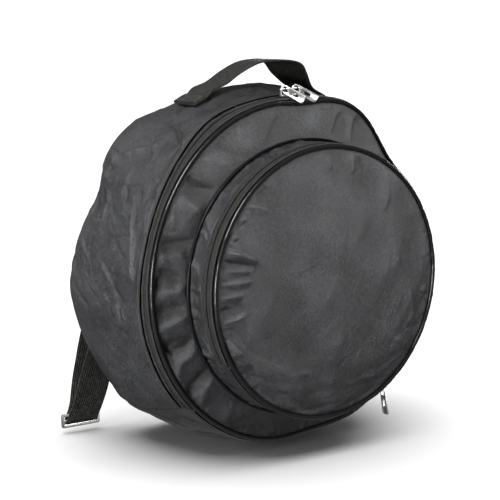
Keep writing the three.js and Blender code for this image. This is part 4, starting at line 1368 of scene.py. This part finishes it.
backStrap = {"wide": 38.5, "thick": 1.8, "folded": 0, "middle": 159.5, "lean": 0.2, "curve": 0.00018, "bowOut": 8,
             "bowRise": 20, "slideOff": 18, "slideMiddle": 12.7, "slack": 0.8, "face": 161,
             "sewnTop": (3, 20), "sewnFoot": (3, 13)}
strapSlide = {"wide": 46, "bar": 3, "slot": 3.2, "thick": 2.6, "foot": 5, "corner": 2.5, "edge": 0.7}
sewn = backStrap["thick"] / 2 + bagShape["seam"]
wrap = strapSlide["thick"] / 2 + bagShape["seam"] + backStrap["thick"] / 2
off, foot = backStrap["slideOff"], backStrap["slideMiddle"]
# places off the back and above the floor
strapUpper = [(sewn, 312), (sewn, 290), (9, 258), (20, 205), (27, 145), (30, 85), (27, 50), (off + wrap + 0.8, 31),
              (off + wrap, foot + 6)]
strapLower = [(off - wrap, foot + 6), (off - wrap - 0.8, 34), (13, 62), (8, 92), (3, 112), (sewn, 126), (sewn, 140)]
strapTurn = [(off + wrap * math.cos(turn), foot - backStrap["slack"] - wrap * math.sin(turn))
             for turn in np.radians(np.arange(0, 181, 15))]
strapRoute = np.concatenate([smoothRoute(strapUpper, 8), strapTurn, smoothRoute(strapLower, 8)])


def spreadStrap(side):
    def spread(flat, sides):
        rise = np.maximum(flat[..., 1] - backStrap["slideMiddle"], 0)
        inward = backStrap["bowOut"] * (1 - np.exp(-rise / backStrap["bowRise"]))
        inward = inward + backStrap["lean"] * rise + backStrap["curve"] * rise ** 2
        depth = backStrap["face"] + flat[..., 0] - halfDepth
        return np.stack([sides + side * (backStrap["middle"] - inward), depth, flat[..., 1]], -1)
    return spread


# strap slides: a metal frame with three bars
def slideModel(name):
    size = strapSlide
    high = 3 * size["bar"] + 2 * size["slot"]
    piece = addBlock(name, (size["wide"], size["thick"], high), (0, 0, high / 2))
    bevelEdges(piece, lambda one, two: abs(one.y - two.y) > 1, size["corner"], 5)
    for low in (size["bar"], 2 * size["bar"] + size["slot"]):
        slot = (size["wide"] - 2 * size["bar"], cutterLong, size["slot"])
        boolPieces(piece, addBlock("slotCutter", slot, (0, 0, low + size["slot"] / 2)), "DIFFERENCE")
    roundEdges(piece, size["edge"])
    smoothBy(piece, 35)
    return piece


strapSides = {"Left": -1, "Right": 1}
for name, side in strapSides.items():
    piece = webbingPiece("strap" + name + "Webbing", strapRoute, backStrap, spreadStrap(side), webSource)
    dress(piece, webbingMaterial, "webbing", "strap_" + name.lower())
for name, side in strapSides.items():
    piece = slideModel("strapSlide" + name)
    depth = backStrap["face"] + backStrap["slideOff"] - halfDepth
    placePiece(piece, Matrix.Translation((side * backStrap["middle"], depth, strapSlide["foot"])))
    dress(piece, nickelMaterial, "nickel", "strap_slide_" + name.lower())
print("webbing and slides made")

# stitching: one stitch is modelled and copied along each seam
stitchSize = {"long": 2.3, "wide": 0.62, "high": 0.5, "pitch": 3.1, "tip": (1.16, 0.45, 0.45), "tipSink": 0.12,
              "margin": 4}
stitchRows = [
    {"name": "hemStitches", "place": bagPlace, "radius": 178.7, "depth": 26.6, "span": (-133, 133)},
    {"name": "rearTapeStitches", "place": bagPlace, "radius": 178.6, "depth": 17.4, "span": (-134, 134)},
    {"name": "frontTapeStitches", "place": bagPlace, "radius": 178.9, "depth": 4.9, "span": (-134, 134)},
    {"name": "pocketRearStitches", "place": pocketPlace, "radius": 139.75, "depth": -35.6, "span": (-119, 149)},
    {"name": "pocketFrontStitches", "place": pocketPlace, "radius": 139.75, "depth": -50.9, "span": (-119, 149)},
]


def stitchModel():
    bpy.ops.object.select_all(action="DESELECT")
    bpy.ops.mesh.primitive_cylinder_add(vertices=6, radius=0.5, depth=1, location=(0, 0, 0),
                                        rotation=(0, math.pi / 2, 0))
    model = bpy.context.object
    bpy.ops.object.transform_apply(rotation=True)
    model.scale = (stitchSize["long"], stitchSize["wide"], stitchSize["high"])
    bpy.ops.object.transform_apply(scale=True)
    pickFaces(model, lambda centre, normal: abs(normal.x) > facing)
    extrude(0, 0, 0)
    bpy.ops.transform.resize(value=stitchSize["tip"], center_override=(0, 0, 0))
    bpy.ops.transform.translate(value=(0, 0, -stitchSize["tipSink"]))
    setMode("OBJECT")
    return model


stitch = stitchModel()
for row in stitchRows:
    dress(copyRound(row["name"], stitch, row, stitchSize["pitch"]), threadMaterial, "nylon_cloth")


def webbingStitches(name, route, spread, reach, wide, lift):
    # a box of stitches with a cross in it on the outer face, over a length of the route
    run = runAlong(route)
    (low, high), half = reach, wide / 2 - stitchSize["margin"]

    def onRoute(at):
        return np.array([np.interp(at, run, route[:, 0]), np.interp(at, run, route[:, 1])])

    def onFace(at, off):
        middle = onRoute(at[0])
        ahead = unit(onRoute(at[0] + 0.5) - middle)
        return spread((middle + off * np.array([-ahead[1], ahead[0]]))[None, :], np.array([at[1]]))[0]

    corners = [(low, -half), (high, -half), (high, half), (low, half)]
    corners += [(low, -half), (high, half), (high, -half), (low, half)]
    places, alongs, outs = [], [], []
    for start, end in zip(corners[:-1], corners[1:]):
        leg = np.subtract(end, start)
        way = unit(leg)
        count = int(np.linalg.norm(leg) / stitchSize["pitch"])
        for number in range(count):
            spot = start + leg * (number + 0.5) / count
            here, ahead = onFace(spot, lift), onFace(spot + way * 0.4, lift)
            aside = onFace(spot + np.array([-way[1], way[0]]) * 0.4, lift)
            along = unit(ahead - here)
            out = unit(np.cross(along, aside - here))
            places.append(here)
            alongs.append(along)
            outs.append(out if out @ (here - onFace(spot, 0)) > 0 else -out)
    piece = copyAlong(name, stitch, np.array(places), np.array(alongs), np.array(outs))
    dress(piece, threadMaterial, "webbing")


def reachFromEnd(route, reach):
    long = runAlong(route)[-1]
    return long - reach[1], long - reach[0]


handleLift = topHandle["thick"] * (1 + webbingEdge["doubled"]) / 2
for name, reach in {"Left": topHandle["sewn"], "Right": reachFromEnd(handleLine, topHandle["sewn"])}.items():
    webbingStitches("handle" + name + "Stitches", handleLine, spreadHandle, reach, topHandle["wide"], handleLift)
strapLift = backStrap["thick"] / 2
for name, side in strapSides.items():
    webbingStitches("strapTopStitches" + name, strapRoute, spreadStrap(side), backStrap["sewnTop"],
                    backStrap["wide"], strapLift)
    webbingStitches("strapFootStitches" + name, strapRoute, spreadStrap(side),
                    reachFromEnd(strapRoute, backStrap["sewnFoot"]), backStrap["wide"], -strapLift)
bpy.data.objects.remove(stitch)
print("seams stitched")

# floor and light
stageSet = {"floor": 700.0, "floorDrop": 0.0006, "floorTone": (0.77, 0.77, 0.768, 1), "room": 0.26, "paper": 1.1}


def paintFloor(start):
    cloud = start.noise(inObject(start), 3.0, 2.0)
    return {"Roughness": 0.85 + (cloud - 0.5) * 0.1}


bpy.ops.object.select_all(action="DESELECT")
bpy.ops.mesh.primitive_plane_add(size=stageSet["floor"], location=(0, 0, -stageSet["floorDrop"]))
floor = bpy.context.object
floor.name = "paleFloor"
floorFinish = {"Base Color": stageSet["floorTone"], "Specular IOR Level": 0.1}
floor.data.materials.append(makeMaterial("palePaper", floorFinish, paintFloor))
floor.visible_diffuse = floor.visible_glossy = False  # the bag's light comes from the lamps, not back from the floor

world = bpy.data.worlds.new("studio")
world.use_nodes = True
surround = world.node_tree.nodes["Background"]
surround.inputs["Color"].default_value = (1, 1, 1, 1)
seen = Shade(world.node_tree, surround.outputs[0]).node("ShaderNodeLightPath", None, None, "Is Camera Ray")
strength = stageSet["room"] + seen * (stageSet["paper"] - stageSet["room"])  # white paper behind, dim room
world.node_tree.links.new(strength.socket, surround.inputs["Strength"])
bpy.context.scene.world = world
bpy.context.scene.view_settings.view_transform = "Standard"


def lampSet(name, pieces, state):
    made = bpy.data.collections.new(name)
    for piece in pieces:
        made.objects.link(piece)
    for member in made.collection_objects:
        member.light_linking.link_state = state
    return made


def named(*names):
    return [bpy.data.objects[name] for name in names]


meshPieces = [piece for piece in bpy.data.objects if piece.type == "MESH"]
nickelPieces = [piece for piece in meshPieces if nickelMaterial.name in piece.data.materials]
# the softboxes are flagged off the floor, the sun off the metal too,
# and the key and the back light off the side wall and the cords, which would glare
offFloor = lampSet("lampsOffFloor", [floor], "EXCLUDE")
offMetal = lampSet("sunOffMetal", [floor] + nickelPieces, "EXCLUDE")
offWall = lampSet("lampsOffWall", [floor, sidePiece] + named(*pipings), "EXCLUDE")
onFloor = lampSet("lampsOnFloor", [floor], "INCLUDE")
onMetal = lampSet("glintOnMetal", named("pocketPull", "pocketSlider", "strapSlideLeft", "strapSlideRight"), "INCLUDE")
sunLamps = {
    "overheadSun": {"place": (-2.6, -0.38, 2.3), "power": 3.3, "soft": 12, "lights": offMetal},
    "floorSun": {"place": (0, 0, 3), "power": 4.6, "soft": 75, "lights": onFloor},
}
softboxes = {
    "keySoftbox": {"place": (0.58, -0.95, 0.78), "aim": (0.02, -0.1, 0.36), "size": 0.35, "power": 1.8, "spread": 42,
                   "lights": offWall},
    "sideSoftbox": {"place": (-0.75, 0.1, 1.15), "aim": (-0.15, 0.0, 0.2), "size": 0.35, "power": 1.7, "spread": 70,
                    "lights": offFloor},
    "backSoftbox": {"place": (0.75, 1.25, 0.28), "aim": (0.0, 0.08, 0.2), "size": 0.6, "power": 3.6, "spread": 80,
                    "lights": offWall},
    "rightSoftbox": {"place": (1.3, 0.4, 0.3), "aim": (0.1, 0.0, 0.2), "size": 0.5, "power": 2.6, "spread": 80,
                     "lights": offFloor},
    "glintSoftbox": {"place": (0.75, -1.05, 0.12), "aim": (0.0, 0.0, 0.05), "size": 0.5, "power": 3.0, "spread": 80,
                     "lights": onMetal},
    "lowSoftbox": {"place": (-1.1, -0.55, 0.13), "aim": (-0.08, -0.06, 0.04), "size": 0.3, "power": 1.75, "spread": 50,
                   "lights": offFloor},
}


def addLamp(name, kind, light, aim):
    turn = (Vector(aim) - Vector(light["place"])).to_track_quat("-Z", "Y").to_euler()
    bpy.ops.object.light_add(type=kind, location=light["place"], rotation=turn)
    lamp = bpy.context.object
    lamp.name = name
    lamp.data.energy = light["power"]
    lamp.light_linking.receiver_collection = light["lights"]
    return lamp.data


for name, light in sunLamps.items():
    addLamp(name, "SUN", light, (0, 0, 0)).angle = math.radians(light["soft"])
for name, light in softboxes.items():
    lamp = addLamp(name, "AREA", light, light["aim"])
    lamp.size = light["size"]
    lamp.spread = math.radians(light["spread"])
    lamp.use_shadow = light["lights"] != onMetal
print("floor and lights set")

bpy.context.view_layer.update()
